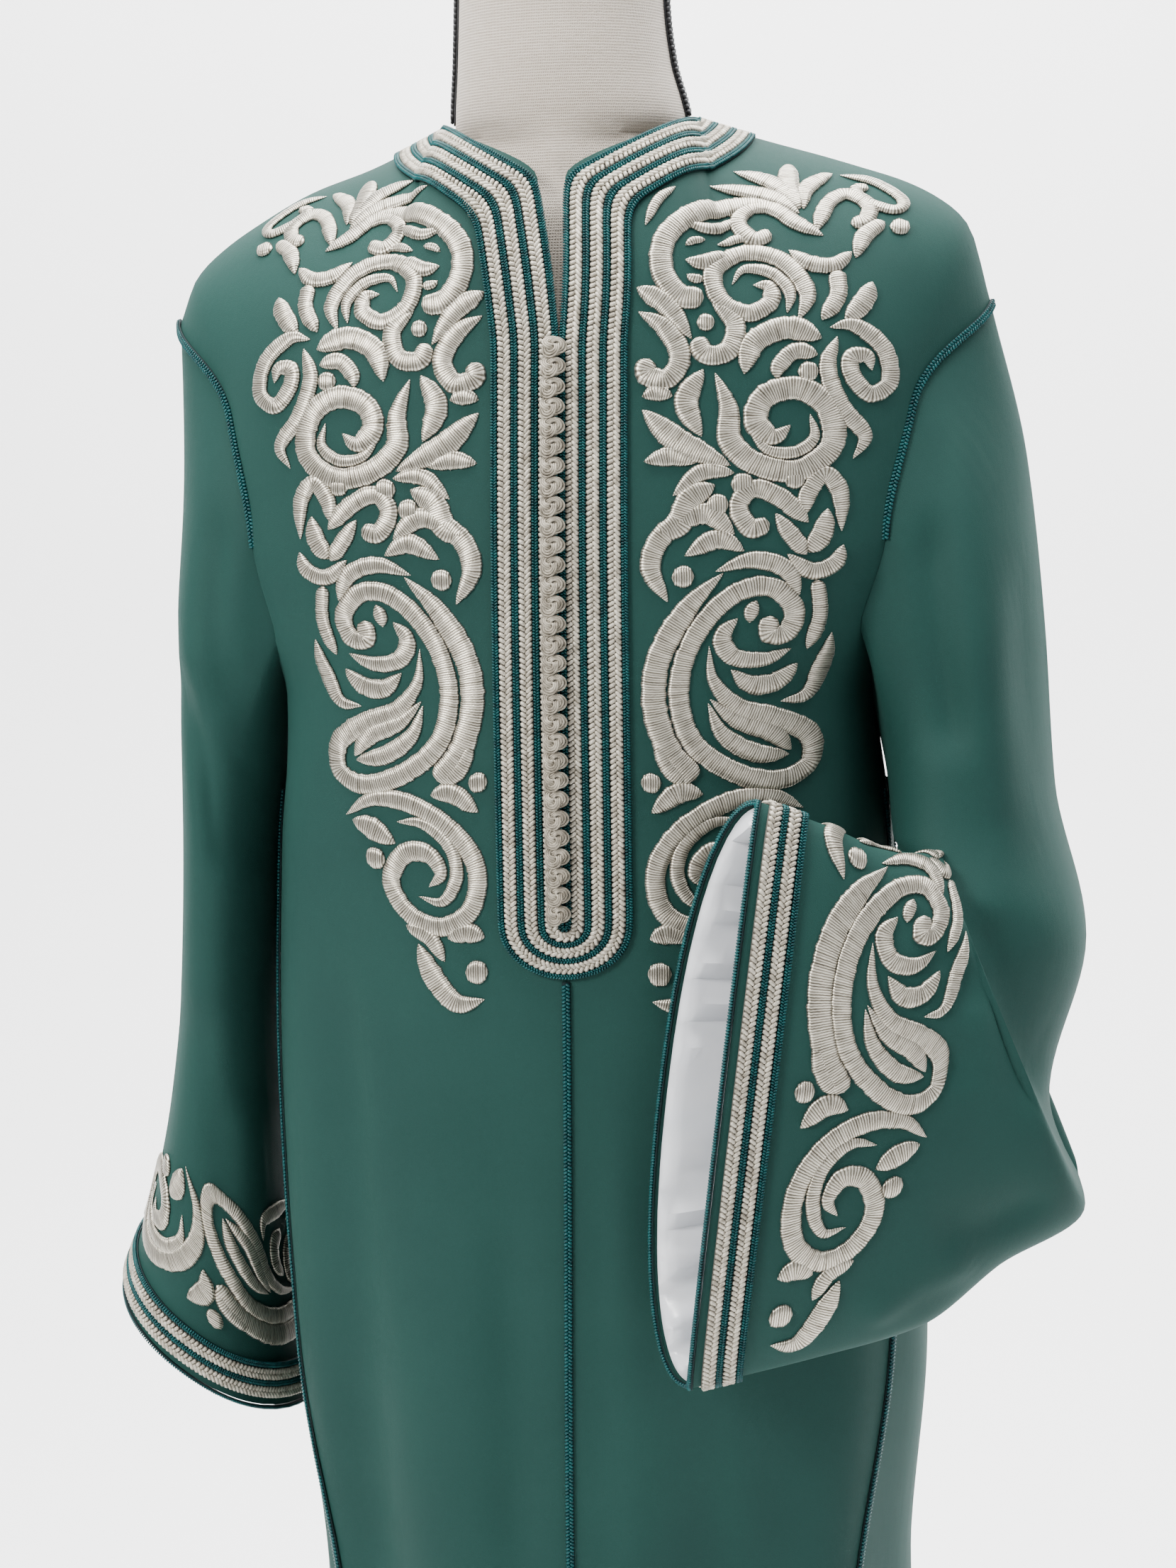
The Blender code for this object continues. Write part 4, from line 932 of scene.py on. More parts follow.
def neck_line(distance):
    """A loop at this distance from the slit, round the neck, and round the foot of the slit."""
    slope = np.arctan((NECK_SIDE[2] - NECK_FRONT_Z) / (NECK_SIDE[0] - SLIT_HALF_GAP))
    corner = distance * (1 - np.sin(slope)) / np.cos(slope)
    turn_z = NECK_FRONT_Z - corner * CORNER_DROP
    shares = np.linspace(0, 1, NECK_SAMPLES)
    start = np.interp(corner, lengths_along(neckline(1, shares, True)), shares)
    halves = {}
    for side in (-1, 1):
        slit = []
        for z in np.linspace(PLACKET_FOOT_Z, turn_z, SLIT_STEPS + 1):
            x = slit_x(z) + side * (max(slit_gap(z), SEAM_GAP / 2) + distance)
            slit.append(BODY.from_front(x, z)[0])
        neck = [neck_place(side, t, True, distance) for t in np.linspace(start, 1, NECK_STEPS + 1)[1:]]
        halves[side] = slit + neck
    behind = [neck_place(-1 if share < 0 else 1, abs(share), False, distance)
              for share in np.linspace(-1, 1, BACK_STEPS + 1)[1:-1]]
    foot = []
    for turn in np.linspace(0, np.pi, FOOT_STEPS + 1)[1:-1]:
        x = slit_x(PLACKET_FOOT_Z) + distance * np.cos(turn)
        foot.append(BODY.from_front(x, PLACKET_FOOT_Z - PLACKET_ROUND * distance * np.sin(turn))[0])
    points = np.array(halves[-1] + behind + halves[1][::-1] + foot)
    for middle in (len(halves[-1]) - 1, len(halves[-1]) + len(behind)):
        near = slice(middle - SHOULDER_REACH, middle + SHOULDER_REACH + 1)
        points[near] = smoothed(points[near], SHOULDER_ROUNDS, closed=False)
    return on_cloth(BODY, smoothed(points, CORNER_ROUNDS, closed=True))


print("points on a neck line:", len(neck_line(0.010)[0]))

# %% [markdown]
# ### Plaits
# Both the silver braid and the teal cord show a row of slanting grains to each side of a middle line, like
# ears of wheat. Each grain is one small plump spindle. A single spindle is made once and then placed
# thousands of times with array arithmetic, so a whole braid is one mesh.

# %% Grains of a plait
Spindle = namedtuple("Spindle", "points faces")


def spindle(sides, rings):
    """A unit spindle along its first axis, through rings of (place, radius), with a tip at each end."""
    turn = np.linspace(0, 2 * np.pi, sides, endpoint=False)
    points = [(-1.0, 0.0, 0.0)]
    for along, radius in rings:
        points += list(zip(np.full(sides, along), radius * np.cos(turn), radius * np.sin(turn)))
    points.append((1.0, 0.0, 0.0))
    faces = []
    last = len(points) - 1
    for j in range(sides):
        k = (j + 1) % sides
        faces.append((0, 1 + k, 1 + j))
        for ring in range(len(rings) - 1):
            low = 1 + ring * sides
            faces.append((low + j, low + k, low + sides + k, low + sides + j))
        low = 1 + (len(rings) - 1) * sides
        faces.append((low + j, low + k, last))
    return Spindle(np.array(points), faces)


SLIM_GRAIN = spindle(4, [(-0.62, 0.84), (0.62, 0.84)])
PLUMP_GRAIN = spindle(5, [(-0.60, 0.85), (0.60, 0.85)])


def placed(shape, middles, along, across, up):
    """Copies of the shape, one for each middle, stretched over its three half axes."""
    points = (middles[:, None] + shape.points[None, :, :1] * along[:, None]
              + shape.points[None, :, 1:2] * across[:, None] + shape.points[None, :, 2:] * up[:, None])
    starts = np.arange(len(middles)) * len(shape.points)
    faces = [face for start in starts for face in renumbered(shape.faces, start)]
    return points.reshape(-1, 3), faces


GROUND_LIFT, GROUND_THICK, GROUND_INSET, GRAIN_OVERLAP = 0.0004, 0.0008, 0.08, 0.10


def band(left, right, normals, closed):
    """A flat band between two lines, a little narrower on top."""
    way = (right - left) * GROUND_INSET
    low, high = normals * GROUND_LIFT, normals * (GROUND_LIFT + GROUND_THICK)
    layers = [left + low, right + low, right - way + high, left + way + high]
    points = np.stack(layers, 1).reshape(-1, 3)
    if closed:
        return points, grid_faces(len(left), 4, closed=True, looped=True).tolist()
    return points, capped_faces(len(left), 4)


Thread = namedtuple("Thread", "grain ground_finish grain_finish slot pitch slant thick plump")
SILVER = Thread(PLUMP_GRAIN, SILVER_GAP_SHADE, SILVER_BRAID, "silver_braid", 0.00285, 0.0030, 0.0026, 0.52)
TEAL = Thread(SLIM_GRAIN, TEAL_GAP_SHADE, TEAL_CORD, "teal_cord", 0.00155, 0.0008, 0.0024, 0.50)
TAPE = Thread(PLUMP_GRAIN, BLACK_TAPE, BLACK_TAPE, "linen", 0.00300, 0.0030, 0.0028, 0.60)


def plait(name, thread, left, middle, right, normals, closed, replaced=()):
    """A plait between two edge lines: a flat ground, with slanting grains on both sides of the middle. Under
    the braid and cords the ground's dark finish is painted shade for the gaps between grains.
    """
    lines = [left, middle, right, normals]
    if closed:
        lines = [np.vstack([line, line[:1]]) for line in lines]
    left, middle, right, normals = lines
    run = lengths_along(middle)
    count = max(int(run[-1] / thread.pitch), 2)
    at = (np.arange(count) + 0.5) / count * run[-1]
    if not closed:
        at = at[at < run[-1] - thread.slant]

    def line_at(line, place):
        place = np.mod(place, run[-1]) if closed else np.clip(place, 0, run[-1])
        return np.stack([np.interp(place, run, line[:, axis]) for axis in range(3)], 1)

    keep = slice(0, -1) if closed else slice(None)
    # The band under the grains: painted shade in the gaps for the braid and cords, and the tape's own black
    # for the tape.
    points, faces = band(left[keep], right[keep], normals[keep], closed)
    points, finish_numbers = [points], [0] * len(faces)
    for edge, late in ((left, 0.0), (right, 0.5)):
        start_at = at + late * thread.pitch
        start = line_at(middle, start_at)
        end = line_at(edge, start_at + thread.slant)
        up = unit(line_at(normals, start_at + thread.slant / 2))
        start = start - (end - start) * GRAIN_OVERLAP
        along = (end - start) / 2
        across = unit(np.cross(up, along)) * thread.pitch * thread.plump
        middles = (start + end) / 2 + up * (GROUND_LIFT + GROUND_THICK * 0.5 + thread.thick / 2)
        more, more_faces = placed(thread.grain, middles, along, across, up * thread.thick / 2)
        faces += renumbered(more_faces, sum(len(part) for part in points))
        points.append(more)
        finish_numbers += [1] * len(more_faces)
    made = add_piece(name, np.concatenate(points), faces, thread.ground_finish,
                     replaced=replaced)
    made.data.materials.append(thread.grain_finish)
    made.data.polygons.foreach_set("material_index", finish_numbers)
    return made


BRAID_WIDTH, CORD_WIDTH, SEAM_CORD_WIDTH = 0.0072, 0.0037, 0.0046
NECK_BRAIDS = {"neck_braid_inner": 0.0070, "neck_braid_middle": 0.0180, "neck_braid_outer": 0.0290}
NECK_CORDS = {"neck_cord_edge": 0.0019, "neck_cord_inner": 0.0125,
              "neck_cord_middle": 0.0235, "neck_cord_outer": 0.0345}


def plait_at(node, thread, line_at, distance, width):
    """A closed plait along the line at this distance, with its edges half a width to each side."""
    middle, normals = line_at(distance)
    left, right = line_at(distance - width / 2)[0], line_at(distance + width / 2)[0]
    return plait("trim_" + node, thread, left, middle, right, normals, closed=True, replaced=[node])


neck_pieces = [plait_at(node, SILVER, neck_line, distance, BRAID_WIDTH)
               for node, distance in NECK_BRAIDS.items()]
neck_pieces += [plait_at(node, TEAL, neck_line, distance, CORD_WIDTH)
                for node, distance in NECK_CORDS.items()]
print("neck trims:", sum(len(piece.data.polygons) for piece in neck_pieces), "faces")

# %% [markdown]
# ### Cuffs and seams
# The cuffs carry two braids between three cords. The last cord is sewn over the very edge, so it shows
# from the inside too. Every long seam is covered by a flat teal cord.

# %% Cuff trims
CUFF_BRAIDS = {"inner": 0.0190, "outer": 0.0080}
CUFF_CORDS = {"middle": 0.0135, "top": 0.0248}
EDGE_CORD_HALF = 0.0018


def cuff_line(panel, distance):
    """A ring on the sleeve at this distance from the cuff's edge: points and normals."""
    points, normals = [], []
    for k in range(panel.grid.shape[1]):
        line, ways = panel.grid[::-1, k], panel.normals[::-1, k]
        run = lengths_along(line)
        points.append([np.interp(distance, run, line[:, axis]) for axis in range(3)])
        normals.append([np.interp(distance, run, ways[:, axis]) for axis in range(3)])
    return np.array(points), unit(normals)


def cuff_edge_plait(word, panel):
    edge, normals = panel.grid[-1], panel.normals[-1]
    beyond = unit(panel.grid[-1] - panel.grid[-3])
    middle = edge - normals * CLOTH / 2
    reach = normals * EDGE_CORD_HALF
    return plait("trim_cuff_cord_edge_" + word, TEAL, middle - reach, middle, middle + reach, beyond,
                 closed=True, replaced=["cuff_cord_edge_" + word])


cuff_pieces = []
for word in SIDES.values():
    sleeve = panels["sleeve_" + word]
    line_of_cuff = partial(cuff_line, sleeve)
    cuff_pieces += [plait_at(f"cuff_braid_{name}_{word}", SILVER, line_of_cuff, distance, BRAID_WIDTH)
                    for name, distance in CUFF_BRAIDS.items()]
    cuff_pieces += [plait_at(f"cuff_cord_{name}_{word}", TEAL, line_of_cuff, distance, CORD_WIDTH)
                    for name, distance in CUFF_CORDS.items()]
    cuff_pieces.append(cuff_edge_plait(word, sleeve))
print("cuff trims:", sum(len(piece.data.polygons) for piece in cuff_pieces), "faces")

# %% Seam cords
SEAM = TEAL._replace(pitch=0.0020, slant=0.0010, thick=0.0020)
CORDED_ARMHOLE_ROWS, SIDE_CORD_ROW, CENTRE_STEPS = 10, 5, 140


def seam_plait(node, middle, normals):
    way = unit(np.gradient(middle, axis=0))
    across = unit(np.cross(way, normals)) * SEAM_CORD_WIDTH / 2
    return plait("trim_" + node, SEAM, middle - across, middle, middle + across, normals, False, [node])


foot_z = PLACKET_FOOT_Z - PLACKET_ROUND * NECK_CORDS["neck_cord_outer"] - SEAM_CORD_WIDTH * 0.6
centre = [BODY.from_front(slit_x(z), z) for z in np.linspace(foot_z, HEM_Z + SEAM_GAP, CENTRE_STEPS)]
seam_pieces = [seam_plait("cord_centre_front", *(np.array(part) for part in zip(*centre)))]
armhole_reach = YOKE_ROWS + CORDED_ARMHOLE_ROWS
for word in SIDES.values():
    sleeve, gore = panels["sleeve_" + word], panels["gore_" + word]
    order = np.arange(-armhole_reach, armhole_reach + 1)
    seam_pieces.append(seam_plait("cord_armhole_" + word, sleeve.grid[0, order], sleeve.normals[0, order]))
    for edge, name in ((0, "front"), (-1, "back")):
        line, ways = gore.grid[SIDE_CORD_ROW:, edge], gore.normals[SIDE_CORD_ROW:, edge]
        seam_pieces.append(seam_plait(f"cord_side_{name}_{word}", line, ways))
print("seam cords:", len(seam_pieces))

# %% [markdown]
# ### Knots
# Thirty knotted buttons close the front. Each is a small ball with three strands wound over it in a
# trefoil, the curve of an overhand knot. One knot is made once and placed down the slit, each leaning out
# over the next.

# %% Knots
KNOTS, KNOTS_ON_A_STRING, KNOT_PITCH, KNOT_TOP_Z = 30, 5, 0.01025, 1.3130
KNOT_WIDTH, KNOT_HEIGHT, KNOT_DEPTH, KNOT_LEFT, KNOT_LIFT = 0.0130, 0.0122, 0.0084, 0.0030, 0.0066
KNOT_LEAN = np.radians(14)
STRANDS, STRAND_RADIUS, STRAND_STEPS, STRAND_SIDES = (-0.19, 0.0, 0.19), 0.115, 72, 5
STRAND_OUT, STRAND_SWING, STRAND_RISE, CORE_SHARE, CORE_BULGE = 0.54, 0.30, 0.16, 0.86, 1.05


def ball_shape(sides, levels):
    lean = np.linspace(-np.pi / 2, np.pi / 2, levels + 2)[1:-1]
    return spindle(sides, list(zip(np.sin(lean), np.cos(lean))))


def tube_round(line, radius, sides):
    """A closed tube round a loop of points."""
    way = unit(np.roll(line, -1, axis=0) - np.roll(line, 1, axis=0))
    first = unit(np.cross(way, [0.0, 0.0, 1.0]))
    second = np.cross(way, first)
    turn = np.linspace(0, 2 * np.pi, sides, endpoint=False)[None, :, None]
    points = line[:, None] + radius * (first[:, None] * np.cos(turn) + second[:, None] * np.sin(turn))
    return points.reshape(-1, 3), grid_faces(len(line), sides, closed=True, looped=True).tolist()


def knot_shape():
    """A ball in a trefoil of strands, one unit in half size, with its face towards the third axis."""
    core = ball_shape(12, 6)
    points, faces = [core.points[:, [1, 2, 0]] * CORE_SHARE], [tuple(face) for face in core.faces]
    t = np.linspace(0, 2 * np.pi, STRAND_STEPS, endpoint=False)
    for aside in STRANDS:
        out = STRAND_OUT + aside + STRAND_SWING * np.cos(3 * t)
        ball = np.sqrt(np.clip(CORE_BULGE - out**2, 0.02, 1)) * CORE_SHARE
        high = ball + STRAND_RISE * np.sin(3 * t)
        line = np.stack([out * np.cos(2 * t), out * np.sin(2 * t), high], 1)
        more, more_faces = tube_round(line, STRAND_RADIUS, STRAND_SIDES)
        faces += renumbered(more_faces, sum(len(part) for part in points))
        points.append(more)
    return Spindle(np.concatenate(points), faces)


def turned_out(points, faces):
    """The faces of closed shapes, all reversed if together they enclose less than nothing."""
    points = np.asarray(points)
    triangles = np.array([(face[0], face[n], face[n + 1])
                          for face in faces for n in range(1, len(face) - 1)])
    a, b, c = (points[triangles[:, n]] for n in range(3))
    inside_out = np.einsum("ij,ij->i", a, np.cross(b, c)).sum() < 0
    return [tuple(face)[::-1] for face in faces] if inside_out else faces


knot = knot_shape()
for first in range(0, KNOTS, KNOTS_ON_A_STRING):
    middles, across, up, ahead_of = [], [], [], []
    for n in range(first, first + KNOTS_ON_A_STRING):
        z = KNOT_TOP_Z - KNOT_PITCH * n
        place, normal = BODY.from_front(slit_x(z) - KNOT_LEFT, z)
        sideways = unit(np.cross([0.0, 0.0, 1.0], normal))
        rising = np.cross(normal, sideways)
        leaning = normal * np.cos(KNOT_LEAN) + rising * np.sin(KNOT_LEAN)
        middles.append(place + normal * KNOT_LIFT)
        across.append(sideways * KNOT_WIDTH / 2)
        up.append(np.cross(leaning, sideways) * KNOT_HEIGHT / 2)
        ahead_of.append(leaning * KNOT_DEPTH / 2)
    points, faces = placed(knot, np.array(middles), *(np.array(part) for part in (across, up, ahead_of)))
    node = f"knots_{first + 1:02d}"
    add_piece("trim_" + node, points, turned_out(points, faces), KNOT_THREAD,
              replaced=[node])
print("knots:", KNOTS, "of", len(knot.faces), "faces")

# %% [markdown]
# ### Lining
# Satin shows inside the upright cuff. It is a little fuller than the sleeve, so it puckers where it is
# sewn to the edge. The puckers are ripples, flat at the seam itself, that rise just behind it and die away
# further in.

# %% Lining
LINING, LINING_GAP, LINING_EDGE, LINING_ROWS = 0.0010, 0.0004, 0.0018, 30
PUCKERS, PUCKER_DEPTH, PUCKER_REACH, SEWN_REACH, PUCKER_DRIFT = 24, 0.0110, 0.090, 0.006, 40
PUCKER_SHIFTS = ((1.7, 3), (0.9, 7))


def lining_panel(sleeve):
    mouth, mouth_normals = cuff_line(sleeve, LINING_EDGE)
    grid = np.concatenate([sleeve.grid[-1 - LINING_ROWS:-1], mouth[None]])
    normals = np.concatenate([sleeve.normals[-1 - LINING_ROWS:-1], mouth_normals[None]])
    run = lengths_along(np.vstack([mouth, mouth[:1]]))
    turn = run[:-1] / run[-1] * 2 * np.pi
    uneven = PUCKERS * turn
    for size, times in PUCKER_SHIFTS:
        uneven = uneven + size * np.sin(times * turn)
    far = np.linspace(1, 0, len(grid))[:, None] * sleeve_depth(sleeve)
    ripple = (0.5 + 0.5 * np.sin(uneven + PUCKER_DRIFT * far)) * np.exp(-far / PUCKER_REACH) * PUCKER_DEPTH
    ripple = ripple * np.clip(far / SEWN_REACH, 0, 1)
    panel = Panel("sleeve_lining_right", grid, closed=True, flip=sleeve.flip)
    panel.normals = normals
    panel.grid = grid - normals * (CLOTH + LINING_GAP + ripple[..., None])
    return panel


def sleeve_depth(sleeve):
    """How far the lining reaches up the sleeve."""
    return lengths_along(sleeve.grid[-1 - LINING_ROWS:, 0])[-1]


lining = wall("lining_right", lining_panel(panels["sleeve_right"]), SATIN, LINING)
print("lining reaches", round(sleeve_depth(panels["sleeve_right"]), 3), "m up the sleeve")

# %% [markdown]
# ## Embroidery
# The chest and the cuffs carry scrolls, leaves and paisleys in padded satin stitch. Every motif is a
# stroke: a flowing line with a width that swells and narrows. A stroke is drawn on the flat cloth, in
# millimetres out from the middle and up the front, and then laid on the curved panel, so it bends with the
# folds.

# %% A flat drawing laid on a panel
CUFF_GIRTH_ROW = 20


class FlatMap:
    """Finds the place on a panel for a place in its flat drawing."""

    def __init__(self, panel, flat):
        self.points, self.normals = panel.grid.reshape(-1, 3), panel.normals.reshape(-1, 3)
        self.flat = np.concatenate([flat.reshape(-1, 2), np.zeros((flat[..., 0].size, 1))], 1)
        triangles = halved(panel.faces)
        self.triangles = triangles[np.isfinite(self.flat[triangles]).all(axis=(1, 2))]
        self.tree = BVHTree.FromPolygons(np.nan_to_num(self.flat).tolist(), self.triangles.tolist())

    def lay(self, places):
        """Points and normals of the cloth for flat places, as two arrays."""
        found = [self.tree.find_nearest(Vector((x, y, 0.0))) for x, y in places.reshape(-1, 2)]
        spots = np.array([spot for spot, _, _, _ in found])
        corners = self.triangles[[index for _, _, index, _ in found]]
        a, b, c = (self.flat[corners[:, n]] for n in range(3))
        shares = corner_shares(a, b, c, spots).T
        shares /= np.maximum(shares.sum(1, keepdims=True), 1e-12)
        points = np.einsum("ij,ijk->ik", shares, self.points[corners])
        normals = unit(np.einsum("ij,ijk->ik", shares, self.normals[corners]))
        return points.reshape(*places.shape[:-1], 3), normals.reshape(*places.shape[:-1], 3)


def run_down(grid):
    """How far each point of a grid is from its first row, measured down its column."""
    steps = np.linalg.norm(np.diff(grid, axis=0), axis=-1)
    return np.concatenate([np.zeros((1, steps.shape[1])), np.cumsum(steps, axis=0)])


def chest_map(side, panel, shift):
    """Out from the middle of the front, and up the cloth from the floor's height at the chest line."""
    down = run_down(panel.grid)
    high = CHEST_Z + down[YOKE_ROWS] - down
    return FlatMap(panel, np.stack([side * panel.grid[..., 0] - shift, high], -1))


def cuff_map(panel):
    """In from the cuff's edge, and round the cuff from its outer corner over the front."""
    inward = run_down(panel.grid[::-1])[::-1]
    middle_ring = panel.grid[-CUFF_GIRTH_ROW]
    ring = lengths_along(np.vstack([middle_ring, middle_ring[:1]]))[:-1]
    around = np.broadcast_to(ring, inward.shape).copy()
    around[:, -1] = np.nan
    return FlatMap(panel, np.stack([inward, around], -1))


RIGHT_SHIFT = 0.0110
CHEST_MAPS = {-1: chest_map(-1, panels["front_left"], 0.0),
              1: chest_map(1, panels["front_right"], RIGHT_SHIFT)}
CUFF_MAPS = {side: cuff_map(panels["sleeve_" + word]) for side, word in SIDES.items()}
print("cloth under the chest embroidery:", CHEST_MAPS[1].lay(np.array([[0.1, 1.2]]))[0].round(3))

# %% [markdown]
# ### The strokes
# A stroke is a list of places with a greatest width, and a share of its length at each end over which it
# narrows to a point. Zero gives a round end. The list is a composition of ordinary scrolls and leaves in
# the manner of the photographed embroidery, in tiers from the shoulder down, and the cuffs repeat its
# lower tiers.

# %% Strokes of the embroidery, in millimetres
Stroke = namedtuple("Stroke", "line width head tail")
Ball = namedtuple("Ball", "x height radius")

SHOULDER_TIER = [
    Stroke([(138, 1426), (156, 1421), (172, 1406), (168, 1397), (152, 1403), (147, 1413),
            (154, 1414)], 7, .2, 0),
    Ball(171, 1385, 5.5),
    Stroke([(163, 1388), (153, 1379), (148, 1364)], 10.5, .25, .5),
    Stroke([(145, 1386), (153, 1389), (154, 1400), (143, 1408), (133, 1401), (127, 1381)], 9.5, 0, .2),
    Stroke([(131, 1378), (117, 1386), (104, 1396), (92, 1396), (86, 1386), (94, 1376),
            (104, 1379)], 9.5, .25, 0),
    Stroke([(120, 1396), (121, 1412), (134, 1427)], 10.5, .5, .4),
    Stroke([(118, 1396), (112, 1412), (110, 1434)], 11.5, .3, .3),
    Stroke([(116, 1399), (104, 1415), (82, 1424)], 10.5, .4, .5),
    Stroke([(118, 1393), (102, 1405), (70, 1411)], 10.5, .4, .5),
    Stroke([(146, 1368), (137, 1360), (124, 1361), (113, 1369)], 9.5, .3, .4),
    Stroke([(54, 1404), (45, 1395), (39, 1380)], 6, .4, .5),
    Stroke([(106, 1400), (86, 1398), (65, 1389), (50, 1374), (48, 1356), (57, 1342),
            (70, 1340)], 12.5, .3, 0),
    Stroke([(87, 1389), (72, 1380), (58, 1383)], 7, .4, .5),
    Stroke([(102, 1373), (89, 1376), (76, 1371)], 5.5, .5, .3),
    Stroke([(82, 1366), (70, 1360), (60, 1361)], 9.5, .3, .5),
    Stroke([(70, 1373), (64, 1372), (60, 1369)], 4.5, .4, .4),
    Stroke([(70, 1350), (64, 1351), (61, 1353)], 5.5, .4, .5),
]
BREAST_TIER = [
    Stroke([(119, 1328), (123, 1344), (110, 1362), (90, 1367), (75, 1356), (78, 1340), (92, 1332),
            (104, 1338), (103, 1347), (95, 1348)], 10, .15, .12),
    Stroke([(113, 1332), (114, 1344), (104, 1355), (90, 1357), (84, 1348)], 7, .3, .5),
    Stroke([(138, 1357), (139, 1342), (131, 1328)], 9.5, .15, .3),
    Stroke([(157, 1350), (152, 1338), (143, 1327)], 11.5, .4, .4),
    Stroke([(135, 1324), (148, 1325), (163, 1312), (166, 1294), (156, 1287), (147, 1297), (146, 1307),
            (154, 1308), (157, 1300)], 9.5, .2, .15),
    Stroke([(139, 1319), (134, 1302), (141, 1281), (153, 1264), (147, 1251)], 9.5, .25, .35),
    Stroke([(131, 1318), (113, 1324), (96, 1316), (91, 1299)], 13, .25, .3),
    Stroke([(129, 1309), (117, 1311), (109, 1303), (108, 1296)], 9.5, .3, .3),
    Ball(124, 1300, 5.5),
    Stroke([(74, 1338), (86, 1327), (83, 1312), (71, 1310), (66, 1319)], 11, .3, 0),
    Ball(71, 1327, 4.8),
    Stroke([(35, 1346), (51, 1336), (64, 1318)], 11.5, .3, .6),
    Stroke([(36, 1333), (50, 1324), (58, 1309), (51, 1297), (40, 1300), (42, 1308)], 11.5, .35, 0),
    Stroke([(54, 1288), (46, 1290), (38, 1288)], 9.5, .5, .5),
    Stroke([(76, 1300), (83, 1281), (84, 1263), (98, 1250), (119, 1246), (136, 1259), (134, 1280),
            (119, 1291), (102, 1287), (97, 1274), (106, 1265), (115, 1271)], 13, .2, .12),
    Stroke([(125, 1277), (127, 1264), (117, 1256), (103, 1258), (93, 1270)], 7, .4, .5),
    Stroke([(70, 1302), (61, 1285), (69, 1266)], 13, .45, .5),
    Stroke([(38, 1281), (57, 1264), (84, 1250)], 14, .4, .5),
    Stroke([(66, 1252), (53, 1256), (39, 1253)], 10.5, .5, .5),
    Stroke([(86, 1246), (69, 1247), (54, 1235)], 9.5, .4, .5),
    Stroke([(76, 1240), (63, 1233), (56, 1219), (42, 1214)], 14, .3, .45),
    Ball(90, 1240, 6), Ball(77, 1229, 6),
]
LOWER_TIERS = [
    # ribbon and tulip
    Stroke([(141, 1211), (140, 1233), (132, 1243), (124, 1233), (122, 1221)], 10, .45, .2),
    Stroke([(124, 1217), (110, 1231), (96, 1237), (88, 1228), (94, 1216), (104, 1218)], 10.5, .2, 0),
    Ball(117, 1241, 5.5),
    Stroke([(134, 1224), (131, 1211), (124, 1201)], 11.5, .5, .3),
    Stroke([(107, 1223), (115, 1211), (123, 1200)], 9.5, .5, .3),
    Stroke([(142, 1204), (137, 1194), (125, 1191), (113, 1201)], 9.5, .3, .4),
    Stroke([(128, 1186), (129, 1166), (122, 1146)], 8, .1, .3),
    Stroke([(86, 1213), (70, 1225), (50, 1216), (42, 1198), (51, 1179)], 11.5, .2, .3),
    Stroke([(91, 1204), (77, 1211), (60, 1203)], 11, .5, .5),
    Ball(59, 1192, 6),
    Stroke([(119, 1178), (112, 1193), (95, 1199), (76, 1194)], 10, .3, .5),
    # round scroll and paisley
    Stroke([(104, 1168), (103, 1158), (112, 1158), (116, 1170), (106, 1183), (89, 1183), (72, 1170),
            (60, 1150), (56, 1126), (63, 1102), (83, 1084), (106, 1074), (122, 1078), (122, 1094),
            (105, 1108), (86, 1118), (74, 1134), (72, 1154)], 11, 0, .2),
    Stroke([(87, 1168), (79, 1159), (84, 1147), (99, 1143), (114, 1148)], 10.5, .3, .4),
    Stroke([(97, 1177), (94, 1171), (93, 1165)], 8, .5, .5),
    Stroke([(80, 1193), (62, 1176), (47, 1152), (43, 1126), (50, 1100), (64, 1082)], 13.5, .35, 0),
    Stroke([(135, 1155), (130, 1135), (122, 1117), (108, 1116)], 10, .5, .5),
    Stroke([(117, 1137), (106, 1128), (93, 1129), (83, 1139)], 11.5, .35, .5),
    Stroke([(72, 1124), (85, 1111), (103, 1101), (113, 1088)], 10, .6, .3),
    Stroke([(71, 1122), (78, 1105), (94, 1092), (112, 1086)], 10, .6, .3),
    # lower spiral and tail
    Stroke([(60, 1081), (51, 1090), (43, 1105)], 10, .3, .5),
    Stroke([(68, 1074), (55, 1076), (41, 1066)], 11.5, .4, .5),
    Ball(41, 1082, 5.5),
    Stroke([(119, 1055), (102, 1067), (80, 1068), (56, 1056), (43, 1036), (46, 1014), (63, 1003),
            (82, 1008), (92, 1024), (84, 1040), (70, 1042), (63, 1032), (70, 1024)], 11, .2, .12),
    Stroke([(88, 1057), (72, 1058), (58, 1048), (54, 1032), (62, 1017), (76, 1018)], 8, .35, .4),
    Stroke([(115, 1053), (103, 1051), (89, 1045)], 13, .5, .5),
    Ball(101, 1035, 6),
    Stroke([(60, 997), (50, 1001), (39, 998)], 11, .4, .4),
    Stroke([(84, 1001), (70, 996), (62, 984)], 9.5, .35, .4),
    Stroke([(77, 992), (68, 974), (56, 962), (40, 964)], 13, .35, .5),
    Ball(44, 979, 6.5),
]
print("motifs on each side of the chest:", len(SHOULDER_TIER + BREAST_TIER + LOWER_TIERS))

# %% Strokes made into raised stitching
STITCH_STEP, STITCH_LIFT, PADDING = 0.0015, 0.00035, 0.0019
ACROSS_TOP = np.sin(np.linspace(-np.pi / 2, np.pi / 2, 9))
ACROSS_FOOT = np.array([0.85, 0.0, -0.85])
MM = 0.001
CURVE_STEPS, JAGGED, THINNEST, PADDING_SHARE = 24, 0.035, 0.02, 0.55


